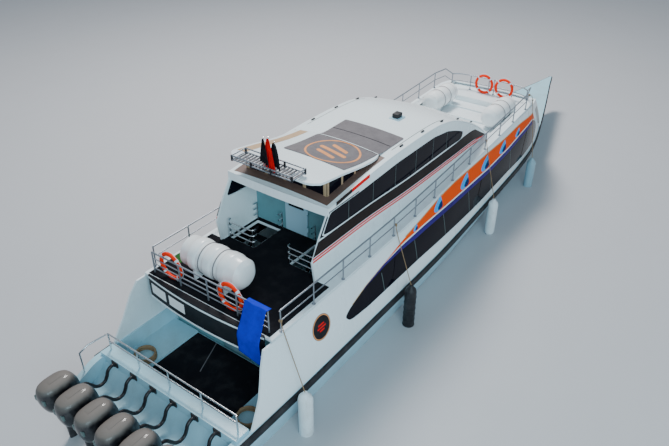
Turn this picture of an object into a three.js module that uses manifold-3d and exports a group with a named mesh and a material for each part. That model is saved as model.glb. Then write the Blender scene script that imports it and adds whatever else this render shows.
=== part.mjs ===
// A planing passenger ferry, about 23 m long, with six outboards, a main cabin and a small upper cabin.
// Millimetres. Origin at the waterline amidships on the centreline, +X to the bow, +Y to port, +Z up.
import * as THREE from "three";
import { mergeVertices } from "three/addons/utils/BufferGeometryUtils.js";
import Module from "manifold-3d";

const wasm = await Module();
wasm.setup();

const ferry = new THREE.Group();
ferry.name = "passenger_ferry";

// Colours, one for each node's material.
const WHITE = 0xe9eeee;
const BLACK = 0x17181a;
const GLASS = 0x0a0d12;
const STEEL = 0xb9bec2;
const BUOY_RED = 0xd8401f;
const ROPE_TAN = 0x9a7a56;
const TARP_BLUE = 0x1c3fae;

const FIT = 0.3; // gap between pieces that rest on each other
const SEAL = 0.5; // gap round a pane in its opening

// Hull form: half width at the strake, strake mid height, chine half width and height, keel height.
const HULL = [
  { x: -11600, beam: 2140, strake: 940, chine: 1880, chineZ: -30, keel: -420 },
  { x: -9500, beam: 2185, strake: 940, chine: 1920, chineZ: 0, keel: -500 },
  { x: -6200, beam: 2185, strake: 940, chine: 1920, chineZ: 0, keel: -540 },
  { x: -2800, beam: 2170, strake: 940, chine: 1880, chineZ: 20, keel: -560 },
  { x: 0, beam: 2060, strake: 960, chine: 1740, chineZ: 60, keel: -580 },
  { x: 2500, beam: 1960, strake: 1010, chine: 1540, chineZ: 130, keel: -580 },
  { x: 4000, beam: 1870, strake: 1060, chine: 1340, chineZ: 200, keel: -570 },
  { x: 5300, beam: 1690, strake: 1100, chine: 1100, chineZ: 290, keel: -530 },
  { x: 6900, beam: 1290, strake: 1180, chine: 740, chineZ: 420, keel: -430 },
  { x: 8300, beam: 900, strake: 1250, chine: 440, chineZ: 570, keel: -270 },
  { x: 9800, beam: 460, strake: 1340, chine: 180, chineZ: 760, keel: 20 },
  { x: 10900, beam: 130, strake: 1420, chine: 50, chineZ: 980, keel: 560 },
  { x: 11300, beam: 30, strake: 1450, chine: 18, chineZ: 1130, keel: 960 },
];
const STRAKE_HALF = 110;
const STRAKE_OUT = 45;
const STRAKE_AFT_X = -10950;
const SHELL = 60;

// Upper deck: half width and height of its edge.
const DECK = [
  { x: -9650, half: 1900, z: 2600 },
  { x: -7500, half: 1910, z: 2600 },
  { x: -5000, half: 1910, z: 2610 },
  { x: -2500, half: 1865, z: 2680 },
  { x: -600, half: 1830, z: 2780 },
  { x: 1500, half: 1790, z: 2880 },
  { x: 3000, half: 1760, z: 2970 },
  { x: 4200, half: 1710, z: 3040 },
  { x: 5300, half: 1480, z: 3080 },
  { x: 6700, half: 1080, z: 3100 },
];
const DECK_THICK = 70;
const DECK_AFT_X = -9450;
const DECK_FRONT_X = 4600;

// Foredeck sunk between the gunwales: its floor, the lower step ahead of it, and its wall.
const FOREDECK = {
  aft: 1450,
  fore: 3960,
  half: 1450,
  z: 2650,
  stepZ: 2820,
  noseX: 4980,
  wall: 40,
  under: 50,
};

// Main cabin walls.
const WALL = 45;
const SOLE_Z = 480;
const COCKPIT_Z = 600;
const LEDGE = { z: 640, y: 1270 }; // raised ledges along the cockpit's sides
const WING_AFT_X = -10450;
const BULKHEAD_X = -8700;
const RAKE = { topX: 4950, topZ: 2930, footX: 6650, footZ: 1300 };
const PANE = 10;

// Windows on the main cabin's side: one long dark band with a pointed aft end.
const BAND = [
  [-7210, 1720],
  [-7030, 1830],
  [-6300, 2030],
  [-5460, 2170],
  [-4600, 2225],
  [-3500, 2225],
  [-2000, 2190],
  [-300, 2160],
  [650, 2140],
  [2230, 2200],
  [3560, 2330],
  [4400, 2370],
  [4820, 2230],
  [5200, 1980],
  [5330, 1720],
  [5200, 1500],
  [4840, 1340],
  [3700, 1320],
  [2370, 1350],
  [1070, 1330],
  [240, 1300],
  [-570, 1310],
  [-2130, 1380],
  [-3870, 1455],
  [-5600, 1465],
  [-6280, 1465],
  [-6910, 1520],
  [-7060, 1560],
];

// Upper cabin: half width at its foot and shoulder, and the heights of its shoulder and crown.
const VIP = [
  { x: -7120, foot: 1450, half: 1450, shoulder: 4240, crown: 4290 },
  { x: -5600, foot: 1455, half: 1450, shoulder: 4400, crown: 4480 },
  { x: -4110, foot: 1455, half: 1445, shoulder: 4480, crown: 4570 },
  { x: -2250, foot: 1450, half: 1440, shoulder: 4450, crown: 4550 },
  { x: -1370, foot: 1445, half: 1430, shoulder: 4300, crown: 4400 },
  { x: -600, foot: 1440, half: 1420, shoulder: 4030, crown: 4150 },
  { x: 300, foot: 1425, half: 1405, shoulder: 3600, crown: 3730 },
  { x: 950, foot: 1405, half: 1395, shoulder: 3200, crown: 3310 },
  { x: 1350, foot: 1400, half: 1390, shoulder: 2900, crown: 2940 },
];
const ROOF_AFT_X = -7060;
const ROOF_BOW = 100; // how far the roof's aft corners stand ahead of its middle
const VIP_WALL = 40;
const VIP_BULKHEAD_X = -6150;
const VIP_SIDE = [
  [-7480, 2600],
  [-7560, 3150],
  [-7300, 3650],
  [-6930, 4240],
];
const VIP_BAND = [
  [-7170, 3680],
  [-6900, 4120],
  [-5700, 4120],
  [-4110, 4180],
  [-2300, 4160],
  [-1500, 4040],
  [-980, 3870],
  [-450, 3650],
  [-550, 3460],
  [-1120, 3480],
  [-1800, 3500],
  [-3630, 3520],
  [-5390, 3610],
  [-6900, 3640],
];
const VIP_LIGHT = [
  [-300, -1150],
  [700, -1050],
  [700, 1050],
  [-300, 1150],
];

// Canopy that stands over the roof's aft end: half width, height, and how far its edge lies below its middle.
const CANOPY = [
  { x: -7180, half: 1000, z: 4870, fall: 20 },
  { x: -7130, half: 1150, z: 4870, fall: 20 },
  { x: -7040, half: 1270, z: 4870, fall: 25 },
  { x: -6850, half: 1310, z: 4860, fall: 30 },
  { x: -6300, half: 1300, z: 4800, fall: 50 },
  { x: -5450, half: 1290, z: 4690, fall: 85 },
  { x: -4850, half: 1280, z: 4640, fall: 90 },
  { x: -4650, half: 1220, z: 4630, fall: 80 },
];
const CANOPY_THICK = 55;

// Rails round the upper deck.
const RAIL_R = 19;
const RAIL_PITCH = 1064;
const RAIL_AFT_X = -9128;
const RAIL_TOP = 537;
const RAIL_MID = 280;
const RAIL_IN = 35;

// Outboards on the transom.
const ENGINES = 6;
const ENGINE_PITCH = 631;
const TRANSOM_X = -11610;
const TRANSOM_TOP = 680;
const TILT_X = -11690;
const TILT_Z = 760;
const STEER_X = -11860;
const PROP_X = -12330;
const PROP_Z = -560;

// Smooth interpolation of one column of a table along x.
function at(table, key) {
  const last = table.length - 1;
  const slope = table.map((row, i) => {
    const a = table[Math.max(i - 1, 0)];
    const b = table[Math.min(i + 1, last)];
    return (b[key] - a[key]) / (b.x - a.x);
  });
  return (x) => {
    const c = Math.min(Math.max(x, table[0].x), table[last].x);
    let i = 0;
    while (i < last - 1 && c > table[i + 1].x) i++;
    const h = table[i + 1].x - table[i].x;
    const t = (c - table[i].x) / h;
    const t2 = t * t;
    const t3 = t2 * t;
    return (
      (2 * t3 - 3 * t2 + 1) * table[i][key] +
      (t3 - 2 * t2 + t) * h * slope[i] +
      (3 * t2 - 2 * t3) * table[i + 1][key] +
      (t3 - t2) * h * slope[i + 1]
    );
  };
}

const beamAt = at(HULL, "beam");
const strakeAt = at(HULL, "strake");
const deckHalfAt = at(DECK, "half");
const deckZAt = at(DECK, "z");
const vipFootAt = at(VIP, "foot");
const vipHalfAt = at(VIP, "half");
const vipShoulderAt = at(VIP, "shoulder");
const vipCrownAt = at(VIP, "crown");
const canopyZAt = at(CANOPY, "z");
const canopyHalfAt = at(CANOPY, "half");
const canopyFallAt = at(CANOPY, "fall");

// Half width of the main cabin's outer face at a station and height.
function sideAt(x, z) {
  const foot = strakeAt(x) + STRAKE_HALF;
  const head = deckZAt(x);
  const t = (z - foot) / (head - foot);
  return beamAt(x) + (deckHalfAt(x) - beamAt(x)) * t + 35 * Math.sin(Math.PI * t);
}

function range(from, to, steps) {
  return Array.from({ length: steps + 1 }, (_, i) => from + ((to - from) * i) / steps);
}

// A closed geometry as a solid that can be joined and cut.
function solid(geometry) {
  const plain = geometry.index ? geometry.toNonIndexed() : geometry.clone();
  plain.deleteAttribute("normal");
  plain.deleteAttribute("uv");
  const merged = mergeVertices(plain, 1e-3);
  return new wasm.Manifold(
    new wasm.Mesh({
      numProp: 3,
      vertProperties: merged.attributes.position.array,
      triVerts: new Uint32Array(merged.index.array),
    }),
  );
}

// Rings of equal length in order, skinned along and closed at both ends.
function loft(rings) {
  const n = rings[0].length;
  const points = rings.flat();
  const faces = [];
  for (let r = 0; r < rings.length - 1; r++) {
    for (let i = 0; i < n; i++) {
      const a = r * n + i;
      const b = r * n + ((i + 1) % n);
      faces.push([a, b, b + n], [a, b + n, a + n]);
    }
  }
  const cap = (start, flip) => {
    const ring = points.slice(start, start + n).map((p) => new THREE.Vector3(...p));
    const normal = new THREE.Vector3();
    ring.forEach((p, i) => normal.add(p.clone().cross(ring[(i + 1) % n])));
    const size = [Math.abs(normal.x), Math.abs(normal.y), Math.abs(normal.z)];
    const drop = size.indexOf(Math.max(...size));
    const flat = ring.map((p) => {
      const q = p.toArray();
      q.splice(drop, 1);
      return new THREE.Vector2(...q);
    });
    const clockwise = THREE.ShapeUtils.isClockWise(flat);
    if (clockwise) flat.reverse();
    THREE.ShapeUtils.triangulateShape(flat, []).forEach((tri) => {
      const t = clockwise ? tri.map((k) => n - 1 - k).reverse() : tri;
      faces.push(flip ? [start + t[0], start + t[2], start + t[1]] : t.map((k) => start + k));
    });
  };
  cap(0, true);
  cap((rings.length - 1) * n, false);
  const volume = faces.reduce((sum, [a, b, c]) => {
    const [p, q, s] = [points[a], points[b], points[c]].map((v) => new THREE.Vector3(...v));
    return sum + p.dot(q.cross(s));
  }, 0);
  const order = volume < 0 ? faces.map(([a, b, c]) => [a, c, b]) : faces;
  const g = new THREE.BufferGeometry();
  g.setAttribute("position", new THREE.BufferAttribute(new Float32Array(points.flat()), 3));
  g.setIndex(order.flat());
  return solid(g);
}

function join(pieces) {
  return pieces.reduce((a, b) => a.add(b));
}

function cut(piece, tools) {
  return tools.reduce((a, b) => a.subtract(b), piece);
}

// Prisms: a polygon in one plane, run along the third axis.
function prismX(points, from, to) {
  return loft([from, to].map((x) => points.map(([y, z]) => [x, y, z])));
}

function prismY(points, from, to) {
  return loft([from, to].map((y) => points.map(([x, z]) => [x, y, z])));
}

function prismZ(points, from, to) {
  return loft([from, to].map((z) => points.map(([x, y]) => [x, y, z])));
}

function box(x0, x1, y0, y1, z0, z1) {
  return prismZ([[x0, y0], [x1, y0], [x1, y1], [x0, y1]], z0, z1);
}

// A lathed body about an axis along x, y or z through a point, from [along, radius] pairs.
function turned(profile, centre, axis, sides = 20) {
  const g = new THREE.LatheGeometry(profile.map(([along, r]) => new THREE.Vector2(r, along)), sides);
  if (axis === "x") g.rotateZ(-Math.PI / 2);
  if (axis === "z") g.rotateX(Math.PI / 2);
  g.translate(...centre);
  const made = solid(g);
  if (made.volume() >= 0) return made;
  const flipped = g.clone();
  const index = flipped.index.array;
  for (let i = 0; i < index.length; i += 3) [index[i + 1], index[i + 2]] = [index[i + 2], index[i + 1]];
  return solid(flipped);
}

function cylinder(centre, axis, r, half, sides = 16) {
  return turned([[-half, 0], [-half, r], [half, r], [half, 0]], centre, axis, sides);
}

// A round bar along a run of points, mitred at the bends.
function bar(points, r, sides = 6) {
  const p = points.map((v) => new THREE.Vector3(...v));
  const step = p.slice(1).map((v, i) => v.clone().sub(p[i]).normalize());
  const up = Math.abs(step[0].z) > 0.9 ? new THREE.Vector3(0, 1, 0) : new THREE.Vector3(0, 0, 1);
  const u = up.clone().cross(step[0]).normalize();
  const w = step[0].clone().cross(u);
  let ring = range(0, 2 * Math.PI, sides)
    .slice(0, sides)
    .map((a) => p[0].clone().addScaledVector(u, r * Math.cos(a)).addScaledVector(w, r * Math.sin(a)));
  const rings = [ring];
  for (let i = 1; i < p.length; i++) {
    const dir = step[i - 1];
    const plane = i < step.length ? dir.clone().add(step[i]).normalize() : dir;
    ring = ring.map((q) => {
      const along = p[i].clone().sub(q).dot(plane) / dir.dot(plane);
      return q.clone().addScaledVector(dir, along);
    });
    rings.push(ring);
  }
  return loft(rings.map((set) => set.map((v) => v.toArray())));
}

// A polygon drawn in by a distance on all its edges.
function inset(points, by) {
  const area = points.reduce((s, [x, y], i) => {
    const [u, v] = points[(i + 1) % points.length];
    return s + x * v - u * y;
  }, 0);
  const turn = area > 0 ? 1 : -1;
  return points.map((p, i) => {
    const before = points[(i + points.length - 1) % points.length];
    const after = points[(i + 1) % points.length];
    const a = new THREE.Vector2(p[0] - before[0], p[1] - before[1]).normalize();
    const b = new THREE.Vector2(after[0] - p[0], after[1] - p[1]).normalize();
    const na = new THREE.Vector2(-a.y, a.x).multiplyScalar(turn);
    const nb = new THREE.Vector2(-b.y, b.x).multiplyScalar(turn);
    const mid = na.clone().add(nb).normalize();
    const reach = by / Math.max(mid.dot(na), 0.3);
    return [p[0] + mid.x * reach, p[1] + mid.y * reach];
  });
}

function mirrored(points) {
  return [...points, ...points.map(([y, z]) => [-y, z]).reverse()];
}

// Adds one named piece, from a solid in the ferry's frame.
function place(name, piece, colour) {
  const got = piece.getMesh();
  const g = new THREE.BufferGeometry();
  g.setAttribute("position", new THREE.BufferAttribute(new Float32Array(got.vertProperties), 3));
  g.setIndex(new THREE.BufferAttribute(new Uint32Array(got.triVerts), 1));
  g.computeVertexNormals();
  const mesh = new THREE.Mesh(g, new THREE.MeshStandardMaterial({ color: colour, name }));
  mesh.name = name;
  ferry.add(mesh);
}

// Hull with the cabin's sole, the aft cockpit and the scooped motor well sunk in it.
const HULL_AFT_X = HULL[0].x;
const HULL_FORE_X = HULL[HULL.length - 1].x;
const stations = [...range(HULL_AFT_X, -3000, 3), ...range(-1500, 4500, 4), ...range(5400, HULL_FORE_X, 7)];
const chineAt = at(HULL, "chine");
const chineZAt = at(HULL, "chineZ");
const keelAt = at(HULL, "keel");
const hullLoft = (lift) => loft(
  stations.map((x) => {
    const top = strakeAt(x) + STRAKE_HALF + lift;
    const low = strakeAt(x) - STRAKE_HALF;
    const flare = 0.45 * chineAt(x) + 0.55 * beamAt(x);
    return mirrored([
      [beamAt(x), top],
      [beamAt(x), low],
      [flare, 0.5 * (low + chineZAt(x))],
      [chineAt(x), chineZAt(x)],
      [chineAt(x) * 0.94, chineZAt(x) - 15],
      [30, keelAt(x)],
    ]).map(([y, z]) => [x, y, z]);
  }),
);
const BEAM = { fore: -10470, aft: -10840, top: 1130, half: 2080 };
const WELL_HALF = 1980;
const WELL = [
  [BEAM.aft, 1400],
  [BEAM.aft, 900],
  [-10960, 740],
  [-11160, 590],
  [-11330, 540],
  [-11440, 560],
  [-11470, TRANSOM_TOP],
  [-11700, TRANSOM_TOP],
  [-11700, 1400],
];
const soleCut = loft(
  range(BULKHEAD_X, 6400, 12).map((x) => {
    const half = beamAt(x) - SHELL - 20;
    const foot = 0.45 * chineAt(x) + 0.55 * beamAt(x) - SHELL - 20;
    const low = Math.max(SOLE_Z, x > 4800 ? 760 : 0);
    return mirrored([[half, 1600], [half, 860], [foot, low]]).map(([y, z]) => [x, y, z]);
  }),
);
const cockpitHalf = beamAt(-9500) - 110;
const hull = cut(
  hullLoft(0).add(box(BEAM.aft, BEAM.fore, -BEAM.half, BEAM.half, 700, BEAM.top)),
  [
    soleCut,
    box(BEAM.fore, BULKHEAD_X + 1, -cockpitHalf, cockpitHalf, LEDGE.z, 1600),
    box(BEAM.fore, BULKHEAD_X + 1, -LEDGE.y, LEDGE.y, COCKPIT_Z, 1600),
    prismY(WELL, -WELL_HALF, WELL_HALF),
    prismY([[-10950, 1300], [-10950, 1052], [-11150, 1010], [-11620, 800], [-11620, 1300]], -2400, 2400),
    ...range(0, ENGINES - 1, ENGINES - 1).map((k) =>
      cylinder([-11550, ENGINE_PITCH * (2.5 - k), TRANSOM_TOP + 60], "x", 150, 130, 10),
    ),
  ],
);
place("hull", hull, WHITE);

// Rubber strake round both flanks and the stem.
const strakeStations = stations.filter((x) => x > STRAKE_AFT_X);
const flank = [STRAKE_AFT_X, ...strakeStations].map((x) => ({ x, y: beamAt(x), z: strakeAt(x) }));
const plan = [
  ...flank,
  { x: HULL_FORE_X, y: -beamAt(HULL_FORE_X), z: strakeAt(HULL_FORE_X) },
  ...flank.slice(0, -1).map(({ x, y, z }) => ({ x, y: -y, z })).reverse(),
];
const strakeRings = plan.map(({ x, y, z }, i) => {
  const before = plan[Math.max(i - 1, 0)];
  const after = plan[Math.min(i + 1, plan.length - 1)];
  const a = new THREE.Vector2(x - before.x, y - before.y).normalize();
  const b = new THREE.Vector2(after.x - x, after.y - y).normalize();
  const mid = a.add(b).normalize();
  const lean = i > 0 && i < plan.length - 1 ? Math.max(Math.abs(mid.dot(b)), 0.5) : 1;
  const out = (d) => [x - (mid.y * d) / lean, y + (mid.x * d) / lean];
  const [ix, iy] = out(FIT);
  const [ox, oy] = out(STRAKE_OUT);
  const [bx, by] = out(STRAKE_OUT * 0.55);
  return [
    [ix, iy, z - STRAKE_HALF],
    [bx, by, z - STRAKE_HALF],
    [ox, oy, z - STRAKE_HALF * 0.5],
    [ox, oy, z + STRAKE_HALF * 0.5],
    [bx, by, z + STRAKE_HALF],
    [ix, iy, z + STRAKE_HALF],
  ];
});
place("rub_strake", loft(strakeRings), BLACK);

// Upper deck with its two stair openings.
const deckStations = [DECK_AFT_X, -7500, -5000, ...range(-3000, 3000, 4), 3700, 4200, 4450, DECK_FRONT_X];
const deckEnd = { 4450: 0.965, [DECK_FRONT_X]: 0.925 };
const deckLoft = (grow) => loft(
  deckStations.map((x) => {
    const half = deckHalfAt(x) * (deckEnd[x] || 1) + grow;
    const top = deckZAt(x) + grow;
    return mirrored([[half, top], [half, top - DECK_THICK - 2 * grow]]).map(([y, z]) => [x, y, z]);
  }),
);
const STAIRS = [
  { name: "stair_port", x0: -7250, x1: -6300, y0: 560, y1: 1290 },
  { name: "stair_stbd", x0: -7250, x1: -6300, y0: -1290, y1: -560 },
];
const hatchCuts = STAIRS.map((s) => box(s.x0, s.x1, s.y0, s.y1, 2400, 2800));
const foredeckLow = FOREDECK.z - FOREDECK.under;
const foredeckOut = FOREDECK.half + FOREDECK.wall;
const noseArc = range(-1, 1, 8).map((v) => [FOREDECK.noseX + 105 * (1 - v * v), v * foredeckOut]);
const foredeckWells = [
  box(FOREDECK.aft, FOREDECK.fore, -FOREDECK.half, FOREDECK.half, FOREDECK.z, 3400),
  box(FOREDECK.fore - 1, 5200, -FOREDECK.half, FOREDECK.half, FOREDECK.stepZ, 3400),
  box(DECK_FRONT_X - 20, 5200, -1700, 1700, FOREDECK.stepZ, 3400),
];
const trayAft = FOREDECK.aft - FOREDECK.wall;
const tray = loft(
  [trayAft, 2000, 3000, DECK_FRONT_X - 10].map((x) =>
    mirrored([[foredeckOut, deckZAt(x) - 20], [foredeckOut, foredeckLow]]).map(([y, z]) => [x, y, z]),
  ),
);
const nose = prismZ([[FOREDECK.fore, foredeckOut], [FOREDECK.fore, -foredeckOut], ...noseArc],
  FOREDECK.stepZ - DECK_THICK, FOREDECK.stepZ);
const underNose = box(FOREDECK.fore + 100, 5200, -1700, 1700, 2400, FOREDECK.stepZ - DECK_THICK);
const foredeckTray = tray.subtract(underNose).add(nose);
const deckClear = cut(deckLoft(FIT), foredeckWells);
place("upper_deck", cut(deckLoft(0).add(foredeckTray), [...hatchCuts, ...foredeckWells]), WHITE);

// Main cabin sides, tumbling home from the strake to the deck, with one long window opening each.
const wallStations = [-10600, -8700, -6700, -4800, -3000, ...range(-1500, 4500, 4), 5100, 5700, 6300, 6700];
function wallRing(x, side, out, thick, base, head) {
  return range(0, 1, 3)
    .map((t) => {
      const z = base + (head - base) * t;
      return [x, side * (sideAt(x, z) - out), z];
    })
    .concat(
      range(1, 0, 3).map((t) => {
        const z = base + (head - base) * t;
        return [x, side * (sideAt(x, z) - out - thick), z];
      }),
    );
}
function wallHead(x) {
  const deck = deckZAt(Math.max(x, -9650)) - DECK_THICK - FIT;
  const t = (x - RAKE.topX) / (RAKE.footX - RAKE.topX);
  return Math.min(deck, RAKE.topZ + (RAKE.footZ + 90 - RAKE.topZ) * t);
}
const WING_EDGE = [
  [WING_AFT_X, 1000],
  [WING_AFT_X, 1080],
  [-10110, 1640],
  [-9880, 2220],
  [-9670, 2640],
  [-9670, 3200],
  [-10900, 3200],
  [-10900, 1000],
];
for (const [word, side] of [["stbd", -1], ["port", 1]]) {
  const rings = wallStations.map((x) => {
    const foot = strakeAt(x) + STRAKE_HALF + FIT;
    return wallRing(x, side, 14, WALL, foot, Math.max(wallHead(x), foot + 30));
  });
  const opening = prismY(BAND, side * 1300, side * 2400);
  const wing = prismY(WING_EDGE, side * 1300, side * 2400);
  place("cabin_side_" + word, cut(loft(rings), [opening, wing, hullLoft(FIT), deckClear]), WHITE);
  const skin = loft(
    range(-7400, 5450, 14).map((x) => wallRing(x, side, 18, PANE, 1250, Math.min(2560, wallHead(x)))),
  );
  const pane = prismY(inset(BAND, SEAL), side * 1300, side * 2400);
  place("cabin_glass_" + word, skin.intersect(pane), GLASS);
}

// Raked cabin front between the sides, and its windscreen.
function rakePoint(t, v, back) {
  const x = RAKE.topX + (RAKE.footX - RAKE.topX) * t;
  const z = RAKE.topZ + (RAKE.footZ - RAKE.topZ) * t;
  const half = sideAt(x, z) - 14 - WALL - 4.8 - back * 0.2;
  return [x + 110 * (1 - v * v) - back, v * half, z];
}
function rakeSlab(t0, t1, v0, v1, back, thick) {
  return loft(
    range(v0, v1, 8).map((v) => [
      ...range(t0, t1, 3).map((t) => rakePoint(t, v, back)),
      ...range(t1, t0, 3).map((t) => rakePoint(t, v, back + thick)),
    ]),
  );
}
const SCREEN = { t0: 0.14, t1: 0.62, v: 0.88 };
const SCREEN_GAP = { t: 0.0004, v: 0.0022 };
const front = rakeSlab(0.01, 0.985, -1, 1, 0, 70).subtract(
  rakeSlab(SCREEN.t0, SCREEN.t1, -SCREEN.v, SCREEN.v, -20, 110),
);
place("cabin_front", front, WHITE);
const paneV = SCREEN.v - SCREEN_GAP.v;
place(
  "windscreen",
  rakeSlab(SCREEN.t0 + SCREEN_GAP.t, SCREEN.t1 - SCREEN_GAP.t, -paneV, paneV, 12, 12),
  GLASS,
);

// Aft bulkhead of the main cabin with its doorway.
const bulkheadHead = deckZAt(BULKHEAD_X) - DECK_THICK - FIT;
const bulkheadRing = mirrored([
  [0.45 * chineAt(BULKHEAD_X) + 0.55 * beamAt(BULKHEAD_X) - SHELL - 40, SOLE_Z + FIT],
  [beamAt(BULKHEAD_X) - SHELL - 60, 900],
  [beamAt(BULKHEAD_X) - SHELL - 60, 1045],
  [sideAt(BULKHEAD_X, 1100) - WALL - 20, 1100],
  [sideAt(BULKHEAD_X, 1900) - WALL - 20, 1900],
  [sideAt(BULKHEAD_X, bulkheadHead) - WALL - 20, bulkheadHead],
]);
place(
  "cabin_bulkhead",
  prismX(bulkheadRing, BULKHEAD_X + 40, BULKHEAD_X + 85).subtract(
    box(BULKHEAD_X, BULKHEAD_X + 200, -450, 450, SOLE_Z + 60, 2380),
  ),
  WHITE,
);

// Fascia below the deck's aft edge, bowed aft.
const FASCIA = { top: 2600, low: 2050, half: 1720, bow: 130, x: -9490 };
place(
  "aft_fascia",
  loft(
    range(-1, 1, 8).map((v) => {
      const x = FASCIA.x - FASCIA.bow * (1 - v * v);
      const y = v * FASCIA.half;
      return [
        [x, y, FASCIA.low],
        [x, y, FASCIA.top + 40],
        [x + 39.7 + FASCIA.bow * (1 - v * v), y, FASCIA.top + 40],
        [x + 39.7 + FASCIA.bow * (1 - v * v), y, FASCIA.top - 30],
        [x + 30, y, FASCIA.top - 40],
        [x + 30, y, FASCIA.low],
      ];
    }),
  ),
  BLACK,
);

// Stairs: a steep flight through each opening, welded to its three-bar rail.
const AFT_DECK_Z = DECK[0].z;
const STAIR_BARS = [180, 340, 500].map((h) => AFT_DECK_Z + h);
for (const s of STAIRS) {
  const parts = [];
  const y0 = s.y0 + 60;
  const y1 = s.y1 - 60;
  const footX = s.x0 - 820;
  const headX = s.x1 - 60;
  const run = [
    [footX, SOLE_Z + 1],
    [footX + 160, SOLE_Z + 1],
    [headX + 20, 2520],
    [headX - 130, 2520],
  ];
  parts.push(prismY(run, y0, y0 + 30), prismY(run, y1 - 30, y1));
  range(1, 7, 6).forEach((i) => {
    const x = footX + 60 + ((headX - footX - 40) * i) / 8;
    const z = SOLE_Z + (2040 * i) / 8;
    parts.push(box(x - 90, x + 130, y0 + 10, y1 - 10, z, z + 30));
  });
  const rail = { x0: s.x0 - 60, x1: s.x1 + 60, y: [s.y0 - 45, s.y1 + 45] };
  rail.y.forEach((y) => {
    STAIR_BARS.forEach((z) => parts.push(bar([[rail.x0, y, z], [rail.x1, y, z]], RAIL_R, 5)));
    [rail.x0, rail.x1].forEach((x) =>
      parts.push(bar([[x, y, AFT_DECK_Z + FIT], [x, y, STAIR_BARS[2] + RAIL_R]], RAIL_R, 4)),
    );
  });
  STAIR_BARS.forEach((z) => parts.push(bar([[rail.x0, rail.y[0], z], [rail.x0, rail.y[1], z]], RAIL_R, 5)));
  rail.y.forEach((y, i) => {
    const inner = i ? y1 - 15 : y0 + 15;
    const x = headX - 40;
    parts.push(bar([[x, inner, 2500], [x, inner, 2640], [x, y, 2680], [x, y, STAIR_BARS[0]]], 14, 4));
  });
  place(s.name, join(parts).subtract(deckClear.subtract(hatchCuts[0]).subtract(hatchCuts[1])), STEEL);
}

function roofRing(x, lift, out) {
  const half = vipHalfAt(x) + out;
  const rise = vipCrownAt(x) - vipShoulderAt(x);
  const bow = x === ROOF_AFT_X ? ROOF_BOW : 0;
  return range(-1, 1, 6).map((v) => [x + bow * v * v, v * half, vipShoulderAt(x) + lift + rise * (1 - v * v)]);
}
const roofStations = [ROOF_AFT_X, ...range(-5970, -1370, 4), -950, -600, -150, 300, 650, 950, 1150, 1350];
const ROOF_THICK = 44;
const roofLoft = (grow) => loft(
  roofStations.map((x) => [
    ...roofRing(x, grow, 25),
    ...roofRing(x, -ROOF_THICK - grow, 25).reverse(),
  ]),
);

// Upper cabin sides, running aft of its bulkhead as raked wings.
const vipStations = [-7760, -7500, -7120, ...roofStations.slice(1)];
function vipWall(x, side, out, thick, base, head) {
  const foot = side * (vipFootAt(x) - out);
  const top = side * (vipHalfAt(x) - out);
  return [
    [x, foot, base],
    [x, top, head],
    [x, top - side * thick, head],
    [x, foot - side * thick, base],
  ];
}
for (const [word, side] of [["stbd", -1], ["port", 1]]) {
  const rings = vipStations.map((x) =>
    vipWall(x, side, 0, VIP_WALL, deckZAt(x) + FIT, Math.max(vipShoulderAt(x) - 45, deckZAt(x) + 20)),
  );
  const wedge = prismY([...VIP_SIDE, [-6930, 4600], [-8200, 4600], [-8200, 2500]], side * 1300, side * 1600);
  const opening = prismY(VIP_BAND, side * 1300, side * 1600);
  place("vip_side_" + word, cut(loft(rings), [wedge, opening, deckClear, roofLoft(FIT)]), WHITE);
  const skin = loft([-7500, -4000, -400].map((x) => vipWall(x, side, 4, PANE, 3400, 4420)));
  place("vip_glass_" + word, skin.intersect(prismY(inset(VIP_BAND, SEAL), side * 1300, side * 1600)), GLASS);
}

// Roof of the upper cabin, curving down over its raked front.
place("vip_roof", cut(roofLoft(0), [prismZ(VIP_LIGHT, 3100, 4300), deckClear]), WHITE);
const frontPane = loft(
  range(-360, 760, 4).map((x) => [...roofRing(x, -14, 20), ...roofRing(x, -26, 20).reverse()]),
).intersect(prismZ(inset(VIP_LIGHT, SEAL), 3100, 4300));
place("vip_windscreen", frontPane, GLASS);

// Aft bulkhead of the upper cabin, with a doorway to port of the middle and its hinged door.
const DOOR = { y0: -230, y1: 420, z0: 2660, z1: 4080, thick: 38 };
const vipHead = (x) => vipShoulderAt(x) - 48;
const bulkheadPanel = prismX(
  mirrored([
    [vipFootAt(VIP_BULKHEAD_X) - VIP_WALL - 6, deckZAt(VIP_BULKHEAD_X) + 1],
    [vipHalfAt(VIP_BULKHEAD_X) - VIP_WALL - 6, vipHead(VIP_BULKHEAD_X - 40)],
  ]),
  VIP_BULKHEAD_X,
  VIP_BULKHEAD_X + 45,
);
const doorSlab = box(
  VIP_BULKHEAD_X - DOOR.thick - 14,
  VIP_BULKHEAD_X - 14,
  DOOR.y0 - 2,
  DOOR.y1 + 12,
  DOOR.z0 - 15,
  DOOR.z1 + 15,
);
const doorLight = box(VIP_BULKHEAD_X - 90, VIP_BULKHEAD_X, DOOR.y0 + 90, DOOR.y1 - 90, 3350, 3950);
const HINGE = { x: VIP_BULKHEAD_X - DOOR.thick - 20, y: DOOR.y0 - 24, pin: 8, sides: 10 };
const HINGE_ZS = [2850, 3350, 3900];
const boreR = (r, sides) => (r + FIT) / Math.cos(Math.PI / sides);
const doorKnuckles = HINGE_ZS.flatMap((z) => [
  cylinder([HINGE.x, HINGE.y, z], "z", 20, 60, HINGE.sides),
  box(HINGE.x, HINGE.x + 18, HINGE.y, DOOR.y0 + 10, z - 55, z + 55),
]);
const doorBores = HINGE_ZS.map((z) =>
  cylinder([HINGE.x, HINGE.y, z], "z", boreR(HINGE.pin, HINGE.sides), 90, HINGE.sides),
);
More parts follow.
